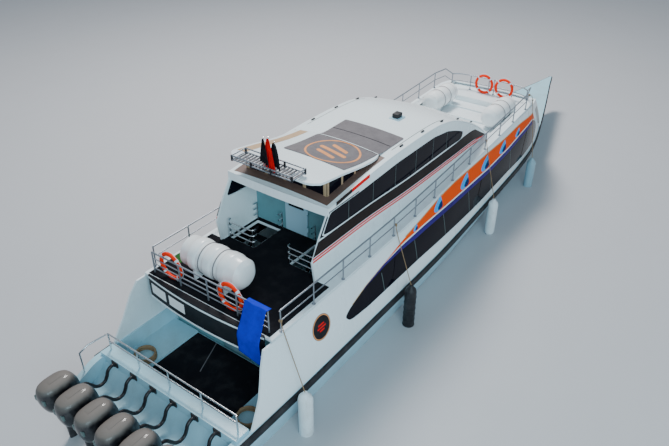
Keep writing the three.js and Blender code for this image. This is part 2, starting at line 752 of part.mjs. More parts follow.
const hingeLugs = HINGE_ZS.flatMap((z) => [
  cylinder([HINGE.x, HINGE.y, z], "z", HINGE.pin, 85, HINGE.sides),
  ...[-76, 76].map((d) =>
    box(HINGE.x - 12, VIP_BULKHEAD_X + 5, HINGE.y - 12, HINGE.y + 12, z + d - 9, z + d + 9),
  ),
]);
const bulkheadDoorway = box(VIP_BULKHEAD_X - 1, VIP_BULKHEAD_X + 100, DOOR.y0, DOOR.y1, DOOR.z0, DOOR.z1);
place(
  "vip_bulkhead",
  join([cut(bulkheadPanel, [roofLoft(FIT), deckClear, bulkheadDoorway]), ...hingeLugs]),
  WHITE,
);
place("vip_door", cut(join([doorSlab, ...doorKnuckles]), [doorLight, ...doorBores]), WHITE);

// Canopy over the roof's aft end with a low rack and three flag staffs, and the clerestory that carries it.
const canopyRing = (x, drop) => {
  const half = canopyHalfAt(x);
  return range(-1, 1, 6).map((v) => [x, v * half, canopyZAt(x) - drop - canopyFallAt(x) * v * v]);
};
const canopyStations = [-7180, -7130, -7040, -6850, -6300, -5850, -5450, -4850, -4650];
const canopyLoft = (grow) => loft(
  canopyStations.map((x) => [...canopyRing(x, -grow), ...canopyRing(x, CANOPY_THICK + grow).reverse()]),
);
const RACK = { aft: -7420, fore: -6970, half: 850, floor: 4900, thick: 30, top: 5030, r: 14 };
const rackCorners = [
  [RACK.aft, -RACK.half],
  [RACK.fore, -RACK.half],
  [RACK.fore, RACK.half],
  [RACK.aft, RACK.half],
];
const rackBars = rackCorners.map(([x, y], i) => {
  const [u, v] = rackCorners[(i + 1) % 4];
  return bar([[x, y, RACK.top], [u, v, RACK.top]], RACK.r, 5);
});
const rackPosts = [RACK.aft, RACK.fore].flatMap((x) =>
  range(-RACK.half, RACK.half, 3).map((y) => bar([[x, y, RACK.floor + 5], [x, y, RACK.top + 5]], RACK.r, 4)),
);
const rackFeet = [-600, 600].map((y) => box(-7120, -7040, y - 30, y + 30, 4835, RACK.floor + 5));
const STAFFS = [[-7200, 80], [-7200, -60], [-7200, -220]];
const STAFF_TOP = 5620;
const flagStaffs = STAFFS.map(([x, y]) => bar([[x, y, RACK.floor + 5], [x, y, STAFF_TOP]], 10, 5));
const rackFloor = box(RACK.aft - RACK.r, RACK.fore + RACK.r, -RACK.half - RACK.r, RACK.half + RACK.r,
  RACK.floor, RACK.floor + RACK.thick);
const canopyShell = canopyLoft(0).subtract(roofLoft(FIT));
place("canopy", join([canopyShell, rackFloor, ...rackBars, ...rackPosts, ...rackFeet, ...flagStaffs]), WHITE);
const CLERESTORY = { aft: -6650, fore: -4900, half: 1180 };
const clerRing = (x) => {
  const half = CLERESTORY.half;
  const up = range(-1, 1, 6).map((v) => {
    const w = (v * half) / canopyHalfAt(x);
    return [x, v * half, canopyZAt(x) - CANOPY_THICK / 2 - canopyFallAt(x) * w * w];
  });
  const down = range(1, -1, 6).map((v) => {
    const w = (v * half) / (vipHalfAt(x) + 25);
    const rise = vipCrownAt(x) - vipShoulderAt(x);
    return [x, v * half, vipShoulderAt(x) + rise * (1 - w * w) - ROOF_THICK / 2];
  });
  return [...up, ...down];
};
place(
  "clerestory",
  cut(loft(range(CLERESTORY.aft, CLERESTORY.fore, 5).map(clerRing)), [canopyLoft(FIT), roofLoft(FIT)]),
  GLASS,
);

// Deck rails: posts at an even pitch with a top and a middle bar, following the sheer.
const postXs = range(0, 12, 12).map((k) => RAIL_AFT_X + RAIL_PITCH * k);
const railY = (x) => deckHalfAt(x) - RAIL_IN;
const FRONT_TURN = [
  [4180, 1590],
  [4430, 1415],
  [4600, 1180],
  [4680, 800],
  [4700, 60],
];
const FRONT_POST = [4700, 100];
const railFoot = (x, y) => (y < FOREDECK.half ? FOREDECK.stepZ : deckZAt(x));
function deckRail(side, grow) {
  const xs = postXs.filter((x) => x < 4000);
  const line = (h) => [
    ...xs.filter((x, i) => i % 2 === 0).map((x) => [x, side * railY(x), deckZAt(x) + h]),
    ...FRONT_TURN.map(([x, y]) => [x, side * y, railFoot(x, y) + h]),
  ];
  const posts = [...xs.map((x) => [x, railY(x)]), FRONT_TURN[1], FRONT_TURN[3], FRONT_POST];
  return join([
    bar(line(RAIL_TOP), RAIL_R + grow),
    bar(line(RAIL_MID), RAIL_R * 0.7 + grow, 4),
    ...posts.map(([x, y]) =>
      bar([[x, side * y, railFoot(x, y) + FIT], [x, side * y, railFoot(x, y) + RAIL_TOP]], RAIL_R + grow, 4),
    ),
  ]);
}
for (const [word, side] of [["stbd", -1], ["port", 1]]) {
  place("deck_rail_" + word, deckRail(side, 0).subtract(deckClear), STEEL);
}
const AFT_RAIL = { x: -9300, half: 1700, top: 560 };
const aftBar = (h, r, sides) => {
  const z = AFT_DECK_Z + h;
  return bar([[AFT_RAIL.x, -AFT_RAIL.half, z], [AFT_RAIL.x, AFT_RAIL.half, z]], r, sides);
};
const aftParts = [120, 260, 400].map((h) => aftBar(h, RAIL_R * 0.7, 4));
aftParts.push(aftBar(AFT_RAIL.top, RAIL_R, 6));
range(-AFT_RAIL.half, AFT_RAIL.half, 4).forEach((y) =>
  aftParts.push(
    bar([[AFT_RAIL.x, y, AFT_DECK_Z + FIT], [AFT_RAIL.x, y, AFT_DECK_Z + AFT_RAIL.top]], RAIL_R, 4),
  ),
);
place("aft_rail", join(aftParts), STEEL);

// Handrail over the beam ahead of the motor well.
const WELL_RAIL = { x: -10640, half: 1950, top: 1600 };
const wellParts = [1600, 1380].map((z) =>
  bar([[WELL_RAIL.x, -WELL_RAIL.half, z], [WELL_RAIL.x, WELL_RAIL.half, z]], RAIL_R),
);
range(-WELL_RAIL.half, WELL_RAIL.half, 4).forEach((y) =>
  wellParts.push(bar([[WELL_RAIL.x, y, BEAM.top + FIT], [WELL_RAIL.x, y, WELL_RAIL.top]], RAIL_R)),
);
const gunwaleAft = { x: -11330, y: 2050, z: 938.4 };
wellParts.push(
  bar(
    [
      [WELL_RAIL.x, WELL_RAIL.half, WELL_RAIL.top],
      [-11130, 2000, WELL_RAIL.top],
      [gunwaleAft.x, gunwaleAft.y, WELL_RAIL.top - 120],
      [gunwaleAft.x, gunwaleAft.y, gunwaleAft.z],
    ],
    RAIL_R,
  ),
);
place("well_rail", join(wellParts), STEEL);

// Life raft canisters: ribbed barrels, the fore pair on one cradle and one athwart the deck's aft end.
function canister(centre, axis, r, half) {
  const nose = [[-half, 0], [-half, r * 0.62], [-half + 110, r * 0.92]];
  const ribs = [-0.5, 0, 0.5].flatMap((t) => [
    [t * half - 110, r * 0.94],
    [t * half - 90, r],
    [t * half + 90, r],
    [t * half + 110, r * 0.94],
  ]);
  const tail = nose.map(([along, q]) => [-along, q]).reverse();
  return turned([...nose, ...ribs, ...tail], centre, axis, 14);
}
const FORE_RAFTS = { x: 2920, y: 1080, z: 3030, r: 340, half: 820 };
const AFT_RAFT = { x: -8650, y: 330, z: 3095, r: 390, half: 900 };
const foreParts = [-1, 1].map((side) =>
  canister([FORE_RAFTS.x, side * FORE_RAFTS.y, FORE_RAFTS.z], "x", FORE_RAFTS.r, FORE_RAFTS.half),
);
[-0.5, 0.5].forEach((t) => {
  const x = FORE_RAFTS.x + t * FORE_RAFTS.half;
  const foot = FOREDECK.z + FIT;
  foreParts.push(box(x - 35, x + 35, -FORE_RAFTS.y - 290, FORE_RAFTS.y + 290, foot, foot + 50));
  [-1, 1].forEach((side) => {
    const y = side * FORE_RAFTS.y;
    foreParts.push(box(x - 35, x + 35, y - 240, y + 240, foot + 40, FORE_RAFTS.z - 200));
  });
});
place("rafts_fore", join(foreParts), WHITE);
const aftLegs = [-0.5, 0.5].map((t) => {
  const y = AFT_RAFT.y + t * AFT_RAFT.half;
  return box(AFT_RAFT.x - 300, AFT_RAFT.x + 300, y - 35, y + 35, 2600 + FIT, AFT_RAFT.z - 200);
});
const aftBarrel = canister([AFT_RAFT.x, AFT_RAFT.y, AFT_RAFT.z], "y", AFT_RAFT.r, AFT_RAFT.half);
place("raft_aft", join([aftBarrel, ...aftLegs]), WHITE);

// Lifebuoys: rings held flat against the rails.
const BUOYS = [
  { name: "lifebuoy_aft_port", at: [-9235.6, 1180, 2960] },
  { name: "lifebuoy_aft_stbd", at: [-9235.6, -620, 2960] },
  { name: "lifebuoy_fore_port", at: [4615.6, 250, 3167.3] },
  { name: "lifebuoy_fore_stbd", at: [4615.6, -500, 3167.3] },
];
const BUOY = { ring: 295, tube: 52 };
for (const { name, at: centre } of BUOYS) {
  const g = new THREE.TorusGeometry(BUOY.ring, BUOY.tube, 6, 18);
  g.rotateY(Math.PI / 2);
  g.translate(...centre);
  place(name, solid(g), BUOY_RED);
}

// Fenders on their lanyards outside the strake.
const FENDERS = [
  { name: "fender_stbd_1", x: -9130, low: -130, r: 165, len: 1350, y: -2440 },
  { name: "fender_stbd_2", x: -4800, low: -250, r: 150, len: 1550, y: -2430 },
  { name: "fender_stbd_3", x: 470, low: -60, r: 150, len: 1330, y: -2290 },
  { name: "fender_stbd_4", x: 4180, low: -270, r: 150, len: 1370, y: -2070 },
];
const knotHalf = (x) => (x < FRONT_TURN[0][0] ? railY(x) : FRONT_TURN[0][1]);
for (const { name, x, low, r, len, y } of FENDERS) {
  const side = Math.sign(y);
  const top = low + len;
  const body = turned(
    [[low, 0], [low, r * 0.45], [low + 110, r], [top - 150, r], [top - 60, r * 0.45], [top, r * 0.3], [top, 0]],
    [x, y, 0],
    "z",
    14,
  );
  const z = deckZAt(x);
  const knotY = side * knotHalf(x);
  const out = side * (deckHalfAt(x) + 30);
  const lanyard = bar([[x, y, top - 20], [x, out, z + 40], [x, knotY + side * 30, z + RAIL_MID - 20]], 10, 5);
  const knot = cylinder([x, knotY, z + RAIL_MID], "x", 40, 34, 8);
  place(name, join([body, lanyard, knot]).subtract(deckRail(side, 2 * FIT)), name.endsWith("2") ? BLACK : WHITE);
}

// Coiled mooring ropes on the cockpit's ledges, and the cover lashed over the deck's aft corner.
const COILS = [
  { name: "rope_coil_port", at: [-10060, 1590], r: 290, tall: 150 },
  { name: "rope_coil_stbd", at: [-10010, -1600], r: 290, tall: 150 },
];
for (const { name, at: [x, y], r, tall } of COILS) {
  const z = LEDGE.z + FIT;
  place(
    name,
    turned([[0, r * 0.4], [0, r], [tall * 0.6, r * 0.92], [tall, r * 0.7], [tall, r * 0.45], [0, r * 0.4]], [x, y, z], "z", 14),
    ROPE_TAN,
  );
}
const tarpTop = 2600 + AFT_RAIL.top + RAIL_R * Math.cos(Math.PI / 6) + 12 + FIT;
place(
  "tarp",
  loft(
    [
      { y: -1150, top: tarpTop, low: 2260, x: -9640 },
      { y: -1450, top: tarpTop + 6, low: 2060, x: -9660 },
      { y: -1740, top: tarpTop, low: 1960, x: -9640 },
    ].map(({ y, top, low, x }) => [
      [x, y, low],
      [x - 15, y, 2500],
      [x + 290, y, top],
      [x + 420, y, top],
      [x + 420, y, top - 12],
      [x + 300, y, top - 12],
      [x + 3, y, 2500],
      [x + 14, y, low],
    ]),
  ),
  TARP_BLUE,
);

// Outboards: clamp brackets on the transom, and for each one a swivel, a powerhead on its leg, and a propeller.
const engineY = range(0, ENGINES - 1, ENGINES - 1).map((k) => ENGINE_PITCH * (2.5 - k));
const brackets = [
  box(TRANSOM_X - 22, TRANSOM_X - FIT + 9.7, -1900, 1900, 300, 380),
  ...engineY.flatMap((y) =>
    [-150, 150].map((d) =>
      prismY(
        [
          [TRANSOM_X - 22, 200],
          [TRANSOM_X + 9.4, 200],
          [TRANSOM_X + 9.4, TRANSOM_TOP + 90],
          [TILT_X + 55, TILT_Z + 60],
          [TILT_X - 45, TILT_Z + 60],
          [TILT_X - 45, TILT_Z - 60],
        ],
        y + d - 18,
        y + d + 18,
      ),
    ),
  ),
  ...engineY.map((y) => cylinder([TILT_X, y, TILT_Z], "y", 22, 150, 16)),
];
place("clamp_brackets", join(brackets), BLACK);

const SWIVEL_HALF = 120;
engineY.forEach((y, k) => {
  const n = k + 1;
  const eye = cylinder([TILT_X, y, TILT_Z], "y", 60, SWIVEL_HALF, 12);
  const arm = box(STEER_X - 30, TILT_X, y - 70, y + 70, TILT_Z - 55, TILT_Z + 45);
  const tube = cylinder([STEER_X, y, 500], "z", 62, 330, 10);
  const swivel = cut(join([eye, arm, tube]), [
    cylinder([TILT_X, y, TILT_Z], "y", boreR(22, 16), 400, 16),
    cylinder([STEER_X, y, 500], "z", boreR(26, 16), 500, 16),
  ]);
  place("swivel_" + n, swivel, BLACK);

  const pivot = bar([[STEER_X, y, 120], [STEER_X, y, 880]], 26, 16);
  const head = box(STEER_X - 280, STEER_X + 60, y - 90, y + 90, 860, 940);
  const foot = box(STEER_X - 280, STEER_X + 50, y - 60, y + 60, 60, 140);
  const mid = loft(
    [
      { z: 1010, f: 90, a: -560, w: 150 },
      { z: 880, f: -120, a: -520, w: 140 },
      { z: 500, f: -140, a: -420, w: 85 },
      { z: 0, f: -120, a: -400, w: 62 },
      { z: -250, f: -90, a: -420, w: 45 },
    ].map(({ z, f, a, w }) => [
      [STEER_X + f, y, z],
      [STEER_X + f * 0.6 + a * 0.4, y + w, z],
      [STEER_X + a, y + w * 0.5, z],
      [STEER_X + a, y - w * 0.5, z],
      [STEER_X + f * 0.6 + a * 0.4, y - w, z],
    ]),
  );
  const plate = prismZ(
    [[STEER_X - 60, y - 60], [STEER_X - 60, y + 60], [STEER_X - 520, y + 130], [STEER_X - 640, y + 60],
      [STEER_X - 640, y - 60], [STEER_X - 520, y - 130]],
    -262,
    -246,
  );
  const gearcase = turned(
    [[PROP_X + 12, 0], [PROP_X + 12, 66], [PROP_X + 180, 80], [PROP_X + 420, 70], [PROP_X + 560, 28], [PROP_X + 600, 0]],
    [0, y, PROP_Z],
    "x",
    10,
  );
  const strut = loft(
    [
      { z: -250, f: -90, a: -420, w: 45 },
      { z: -540, f: 0, a: -380, w: 42 },
    ].map(({ z, f, a, w }) => [
      [STEER_X + f, y, z],
      [STEER_X + f * 0.6 + a * 0.4, y + w, z],
      [STEER_X + a, y, z],
      [STEER_X + f * 0.6 + a * 0.4, y - w, z],
    ]),
  );
  const skeg = prismY(
    [[STEER_X + 30, PROP_Z - 50], [STEER_X - 300, PROP_Z - 50], [STEER_X - 330, PROP_Z - 260], [STEER_X - 180, PROP_Z - 260]],
    y - 12,
    y + 12,
  );
  const cowl = loft(
    [
      { z: 1000, f: 100, a: -590, w: 170 },
      { z: 1100, f: 130, a: -680, w: 235 },
      { z: 1300, f: 120, a: -745, w: 258 },
      { z: 1480, f: 90, a: -760, w: 262 },
      { z: 1600, f: 40, a: -740, w: 245 },
      { z: 1680, f: -30, a: -690, w: 205 },
      { z: 1715, f: -110, a: -600, w: 140 },
    ].map(({ z, f, a, w }) => {
      const long = (f - a) / 2;
      const mid2 = STEER_X + (f + a) / 2;
      return range(0, 2 * Math.PI, 12)
        .slice(0, 12)
        .map((t) => {
          const c = Math.cos(t);
          const s2 = Math.sin(t);
          const pow = (v) => Math.sign(v) * Math.sqrt(Math.abs(v));
          return [mid2 + long * pow(c) * 0.9 + long * c * 0.1, y + w * (0.75 * pow(s2) + 0.25 * s2), z];
        });
    }),
  );
  const shaft = cylinder([PROP_X - 70, y, PROP_Z], "x", 16, 120, 12);
  const engine = join([pivot, head, foot, mid, plate, gearcase, strut, skeg, cowl, shaft]);
  place("outboard_" + n, engine, BLACK);

  const hub = turned(
    [[PROP_X - 190, 0], [PROP_X - 190, 40], [PROP_X - 40, 62], [PROP_X + 6, 64], [PROP_X + 6, 0]],
    [0, y, PROP_Z],
    "x",
    10,
  );
  const blade = (turn) => {
    const c = Math.cos(turn);
    const s3 = Math.sin(turn);
    const ring = ({ r, w, pitch }) => {
      const lead = w * Math.cos(pitch);
      const twist = w * Math.sin(pitch);
      return [[-twist, -lead, -6], [twist, lead, -6], [twist, lead, 6], [-twist, -lead, 6]].map(([ax, tn, th]) => [
        PROP_X - 90 + ax + th,
        y + r * c - tn * s3,
        PROP_Z + r * s3 + tn * c,
      ]);
    };
    return loft([{ r: 40, w: 40, pitch: 0.9 }, { r: 130, w: 84, pitch: 0.6 }, { r: 190, w: 45, pitch: 0.45 }].map(ring));
  };
  const bore = cylinder([PROP_X - 90, y, PROP_Z], "x", boreR(16, 12), 130, 12);
  const blades = range(0, 2, 2).map((i) => blade((i * 2 * Math.PI) / 3 + 0.5));
  place("prop_" + n, join([hub, ...blades]).subtract(bore), STEEL);
});

// Six rigging hoses from the wall down to the powerheads, held by one strip on the wall.
const hoses = engineY.map((y) =>
  bar(
    [
      [BEAM.aft - 20, y, 1060],
      [BEAM.aft - 120, y, 1065],
      [BEAM.aft - 210, y, 1010],
      [BEAM.aft - 260, y, 900],
      [BEAM.aft - 330, y, 800],
      [BEAM.aft - 450, y, 770],
      [BEAM.aft - 570, y, 830],
      [BEAM.aft - 660, y, 950],
      [BEAM.aft - 760, y, 1080],
      [BEAM.aft - 868, y, 1130],
    ],
    40,
    6,
  ),
);
const strip = box(BEAM.aft - 40, BEAM.aft - FIT, -1750, 1750, 1020, 1100);
place("rigging_hoses", join([strip, ...hoses]), BLACK);

export default ferry;
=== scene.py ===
import math
import random

import bmesh
import bpy
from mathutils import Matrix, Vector
from mathutils.geometry import delaunay_2d_cdt


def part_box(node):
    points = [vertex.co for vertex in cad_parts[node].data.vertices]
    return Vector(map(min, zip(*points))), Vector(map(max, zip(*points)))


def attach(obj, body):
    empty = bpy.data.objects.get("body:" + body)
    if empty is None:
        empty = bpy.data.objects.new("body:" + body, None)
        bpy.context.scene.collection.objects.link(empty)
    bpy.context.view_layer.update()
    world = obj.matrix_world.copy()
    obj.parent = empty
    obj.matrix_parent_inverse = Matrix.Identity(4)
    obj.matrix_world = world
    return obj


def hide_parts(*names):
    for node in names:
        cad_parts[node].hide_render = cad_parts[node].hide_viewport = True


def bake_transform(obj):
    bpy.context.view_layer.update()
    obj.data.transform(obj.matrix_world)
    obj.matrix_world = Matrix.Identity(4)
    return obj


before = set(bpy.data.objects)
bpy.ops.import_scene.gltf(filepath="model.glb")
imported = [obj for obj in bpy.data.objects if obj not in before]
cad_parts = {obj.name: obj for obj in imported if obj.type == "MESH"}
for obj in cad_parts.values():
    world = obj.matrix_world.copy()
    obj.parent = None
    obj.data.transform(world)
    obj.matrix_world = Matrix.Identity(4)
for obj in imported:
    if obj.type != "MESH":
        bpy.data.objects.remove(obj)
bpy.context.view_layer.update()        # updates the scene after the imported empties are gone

bl_info = {
    "name": "Passenger Ferry",
    "version": (1, 0, 0),
    "blender": (4, 5, 0),
    "location": "View3D > Sidebar > Ferry",
    "description": "Dresses a fast passenger ferry: shells, paint, deck gear, ropes and outboards",
    "category": "Add Mesh",
}

# Hull form in metres: half width at the strake, strake mid height, chine half width and height, keel height.
HULL = [
    {"x": -11.60, "beam": 2.140, "strake": 0.94, "chine": 1.880, "chine_z": -0.03, "keel": -0.42},
    {"x": -9.50, "beam": 2.185, "strake": 0.94, "chine": 1.920, "chine_z": 0.00, "keel": -0.50},
    {"x": -6.20, "beam": 2.185, "strake": 0.94, "chine": 1.920, "chine_z": 0.00, "keel": -0.54},
    {"x": -2.80, "beam": 2.170, "strake": 0.94, "chine": 1.880, "chine_z": 0.02, "keel": -0.56},
    {"x": 0.00, "beam": 2.060, "strake": 0.96, "chine": 1.740, "chine_z": 0.06, "keel": -0.58},
    {"x": 2.50, "beam": 1.960, "strake": 1.01, "chine": 1.540, "chine_z": 0.13, "keel": -0.58},
    {"x": 4.00, "beam": 1.870, "strake": 1.06, "chine": 1.340, "chine_z": 0.20, "keel": -0.57},
    {"x": 5.30, "beam": 1.690, "strake": 1.10, "chine": 1.100, "chine_z": 0.29, "keel": -0.53},
    {"x": 6.90, "beam": 1.290, "strake": 1.18, "chine": 0.740, "chine_z": 0.42, "keel": -0.43},
    {"x": 8.30, "beam": 0.900, "strake": 1.25, "chine": 0.440, "chine_z": 0.57, "keel": -0.27},
    {"x": 9.80, "beam": 0.460, "strake": 1.34, "chine": 0.180, "chine_z": 0.76, "keel": 0.02},
    {"x": 10.90, "beam": 0.130, "strake": 1.42, "chine": 0.050, "chine_z": 0.98, "keel": 0.56},
    {"x": 11.30, "beam": 0.030, "strake": 1.45, "chine": 0.018, "chine_z": 1.13, "keel": 0.96},
]
STRAKE_HALF = 0.11
STRAKE_OUT = 0.045
STRAKE_AFT_X = -10.95

# Upper deck: half width and height of its edge.
DECK = [
    {"x": -9.65, "half": 1.90, "z": 2.60},
    {"x": -7.50, "half": 1.91, "z": 2.60},
    {"x": -5.00, "half": 1.91, "z": 2.61},
    {"x": -2.50, "half": 1.865, "z": 2.68},
    {"x": -0.60, "half": 1.83, "z": 2.78},
    {"x": 1.50, "half": 1.79, "z": 2.88},
    {"x": 3.00, "half": 1.76, "z": 2.97},
    {"x": 4.20, "half": 1.71, "z": 3.04},
    {"x": 5.30, "half": 1.48, "z": 3.08},
    {"x": 6.70, "half": 1.08, "z": 3.10},
]
DECK_THICK = 0.07
DECK_AFT_X = -9.45
# Stations of the deck's front corners, and their share of its width.
DECK_FRONT = [(4.45, 0.965), (4.60, 0.925)]
WALL = 0.045
WALL_SET_IN = 0.014
PANE = 0.010
WING_EDGE = [(-10.45, 1.08), (-10.11, 1.64), (-9.88, 2.22), (-9.70, 2.529)]
RAKE = {"top_x": 4.95, "top_z": 2.93, "foot_x": 6.65, "foot_z": 1.30}

# The long window band of the main cabin, as (x, z) corners with a pointed aft end.
BAND = [
    (-7.21, 1.72), (-7.03, 1.83), (-6.30, 2.03), (-5.46, 2.17), (-4.60, 2.225), (-3.50, 2.225), (-2.00, 2.19),
    (-0.30, 2.16), (0.65, 2.14), (2.23, 2.20), (3.56, 2.33), (4.40, 2.37), (4.82, 2.23), (5.20, 1.98),
    (5.33, 1.72), (5.20, 1.50), (4.84, 1.34), (3.70, 1.32), (2.37, 1.35), (1.07, 1.33), (0.24, 1.30),
    (-0.57, 1.31), (-2.13, 1.38), (-3.87, 1.455), (-5.60, 1.465), (-6.28, 1.465), (-6.91, 1.52),
    (-7.06, 1.56),
]

# Upper cabin: half width at the foot and at the shoulder, height of the shoulder and of the roof's crown.
VIP = [
    {"x": -7.12, "foot": 1.450, "half": 1.450, "shoulder": 4.24, "crown": 4.29},
    {"x": -5.60, "foot": 1.455, "half": 1.450, "shoulder": 4.40, "crown": 4.48},
    {"x": -4.11, "foot": 1.455, "half": 1.445, "shoulder": 4.48, "crown": 4.57},
    {"x": -2.25, "foot": 1.450, "half": 1.440, "shoulder": 4.45, "crown": 4.55},
    {"x": -1.37, "foot": 1.445, "half": 1.430, "shoulder": 4.30, "crown": 4.40},
    {"x": -0.60, "foot": 1.440, "half": 1.420, "shoulder": 4.03, "crown": 4.15},
    {"x": 0.30, "foot": 1.425, "half": 1.405, "shoulder": 3.60, "crown": 3.73},
    {"x": 0.95, "foot": 1.405, "half": 1.395, "shoulder": 3.20, "crown": 3.31},
    {"x": 1.35, "foot": 1.400, "half": 1.390, "shoulder": 2.90, "crown": 2.94},
]
ROOF_AFT_X = -7.06
ROOF_BOW = 0.10          # how far the roof's aft corners stand ahead of its middle
VIP_WALL = 0.04
VIP_SIDE = [(-7.48, 2.60), (-7.56, 3.15), (-7.30, 3.65), (-6.955, 4.198)]
VIP_BAND = [
    (-7.17, 3.68), (-6.90, 4.12), (-5.70, 4.12), (-4.11, 4.18), (-2.30, 4.16), (-1.50, 4.04), (-0.98, 3.87),
    (-0.45, 3.65), (-0.55, 3.46), (-1.12, 3.48), (-1.80, 3.50), (-3.63, 3.52), (-5.39, 3.61), (-6.90, 3.64),
]
ROOF_THICK = 0.044
ROOF_OUT = 0.025
FRONT_LIGHT = [(-0.30, -1.15), (0.70, -1.05), (0.70, 1.05), (-0.30, 1.15)]

# Canopy over the roof's aft end: half width, height, and how far its edge lies below its middle.
CANOPY = [
    {"x": -7.18, "half": 1.00, "z": 4.87, "fall": 0.020},
    {"x": -7.13, "half": 1.15, "z": 4.87, "fall": 0.020},
    {"x": -7.04, "half": 1.27, "z": 4.87, "fall": 0.025},
    {"x": -6.85, "half": 1.31, "z": 4.86, "fall": 0.030},
    {"x": -6.30, "half": 1.30, "z": 4.80, "fall": 0.050},
    {"x": -5.45, "half": 1.29, "z": 4.69, "fall": 0.085},
    {"x": -4.85, "half": 1.28, "z": 4.64, "fall": 0.090},
    {"x": -4.65, "half": 1.22, "z": 4.63, "fall": 0.080},
]
CANOPY_THICK = 0.055
RACK = {"aft": -7.42, "fore": -6.97, "half": 0.85, "floor": 4.90, "top": 5.03}
STAFF_X = -7.20

# Foredeck sunk between the gunwales: its floor, the step ahead of it, its wall and its nose.
FOREDECK = {"aft": 1.45, "fore": 3.96, "half": 1.45, "z": 2.65, "step_z": 2.82, "nose_x": 4.98, "wall": 0.04}

RAIL_R = 0.019
RAIL_PITCH = 1.064
RAIL_AFT_X = -9.128
RAIL_TOP = 0.537
RAIL_MID = 0.280
RAIL_IN = 0.035
FRONT_TURN = [(4.18, 1.59), (4.43, 1.415), (4.60, 1.18), (4.68, 0.80), (4.70, 0.06)]

ENGINE_YS = [0.631 * (2.5 - k) for k in range(6)]
STEER_X = -11.86
BEAM_AFT_X = -10.84
PROP_X = -12.33
PROP_Z = -0.56
FOLLOW = 0.002           # how far paint and trim stand proud of a shell

# Hatches of the stairs, a flight, the rail round its opening and the rail's bars.
HATCH = {"aft": -7.25, "fore": -6.30, "near": 0.56, "far": 1.29}
FLIGHT = {"near": 0.62, "far": 1.23, "foot": -8.07, "head": -6.36, "floor": 0.48, "rise": 2.04, "treads": 8}
STAIR_RAIL = {"aft": -7.31, "fore": -6.24, "near": 0.515, "far": 1.335}
STAIR_BARS = (2.78, 2.94, 3.10)

AFT_RAIL = {"x": -9.3, "half": 1.70, "foot": 2.6}
WELL_RAIL = {"x": -10.64, "half": 1.95, "foot": 1.13, "mid": 1.38, "top": 1.60}
FASCIA = {"x": -9.49, "bow": 0.130, "half": 1.72, "back": -9.4503, "foot": 2.05, "head": 2.64}
RAFTS_FORE = {"x": 2.92, "y": 1.08, "z": 3.03, "r": 0.34, "half": 0.82}
RAFT_AFT = {"x": -8.65, "y": 0.33, "z": 3.095, "r": 0.39, "half": 0.90}
EMBLEM = {"x": -8.02, "z": 2.0, "wide": 0.31, "tall": 0.30}
MAT_RING = {"x": -5.39, "y": -0.41, "r": 0.67}

# Grid steps of small films, of cabin sides and of long films.
FINE_STEP = (0.2, 0.2)
SIDE_STEP = (0.35, 0.25)
FILM_STEP = (0.3, 0.2)


def along(table, column):
    """A smooth function of x through one column of a table."""
    last = len(table) - 1
    slopes = []
    for i in range(last + 1):
        a = table[max(i - 1, 0)]
        b = table[min(i + 1, last)]
        slopes.append((b[column] - a[column]) / (b["x"] - a["x"]))

    def value(x):
        x = min(max(x, table[0]["x"]), table[last]["x"])
        i = 0
        while i < last - 1 and x > table[i + 1]["x"]:
            i += 1
        h = table[i + 1]["x"] - table[i]["x"]
        t = (x - table[i]["x"]) / h
        t2 = t * t
        t3 = t2 * t
        return (
            (2 * t3 - 3 * t2 + 1) * table[i][column]
            + (t3 - 2 * t2 + t) * h * slopes[i]
            + (3 * t2 - 2 * t3) * table[i + 1][column]
            + (t3 - t2) * h * slopes[i + 1]
        )

    return value


beam_at = along(HULL, "beam")
strake_at = along(HULL, "strake")
deck_half_at = along(DECK, "half")
deck_z_at = along(DECK, "z")
vip_foot_at = along(VIP, "foot")
vip_half_at = along(VIP, "half")
vip_shoulder_at = along(VIP, "shoulder")
vip_crown_at = along(VIP, "crown")
canopy_z_at = along(CANOPY, "z")
canopy_half_at = along(CANOPY, "half")
canopy_fall_at = along(CANOPY, "fall")


def steps(start, end, count):
    """count + 1 even values from start to end."""
    return [start + (end - start) * i / count for i in range(count + 1)]


def side_half(x, z):
    """Half width of the main cabin's skin."""
    foot = strake_at(x) + STRAKE_HALF
    head = deck_z_at(x)
    t = (z - foot) / (head - foot)
    return beam_at(x) + (deck_half_at(x) - beam_at(x)) * t + 0.035 * math.sin(math.pi * t)


# Places that turn two coordinates and a depth under the skin into a point.
def on_wall(side, out=0.0):
    return lambda x, z, depth: (x, side * (side_half(x, z) - WALL_SET_IN + out - depth), z)


def on_vip(side, out=0.0):
    def place(x, z, depth):
        t = (z - deck_z_at(x)) / (vip_shoulder_at(x) - deck_z_at(x))
        half = vip_foot_at(x) + (vip_half_at(x) - vip_foot_at(x)) * t
        return (x, side * (half + out - depth), z)
    return place


def on_roof(out=0.0):
    def place(x, y, depth):
        v = y / (vip_half_at(x) + ROOF_OUT)
        rise = (vip_crown_at(x) - vip_shoulder_at(x)) * (1 - v * v)
        return (x, y, vip_shoulder_at(x) + rise + out - depth)
    return place


def on_canopy(out=0.0):
    def place(x, y, depth):
        v = y / canopy_half_at(x)
        return (x, y, canopy_z_at(x) - canopy_fall_at(x) * v * v + out - depth)
    return place


def on_deck(out=0.0):
    return lambda x, y, depth: (x, y, deck_z_at(x) + out - depth)


def on_front(out=0.0):
    """The raked cabin front, by height share t and width share v."""
    def place(t, v, depth):
        x = RAKE["top_x"] + (RAKE["foot_x"] - RAKE["top_x"]) * t
        z = RAKE["top_z"] + (RAKE["foot_z"] - RAKE["top_z"]) * t
        half = side_half(x, z) - WALL_SET_IN - WALL - 0.0048
        return (x + 0.11 * (1 - v * v) + out - depth, v * half, z)
    return place


def flat_z(z):
    return lambda x, y, depth: (x, y, z - depth)


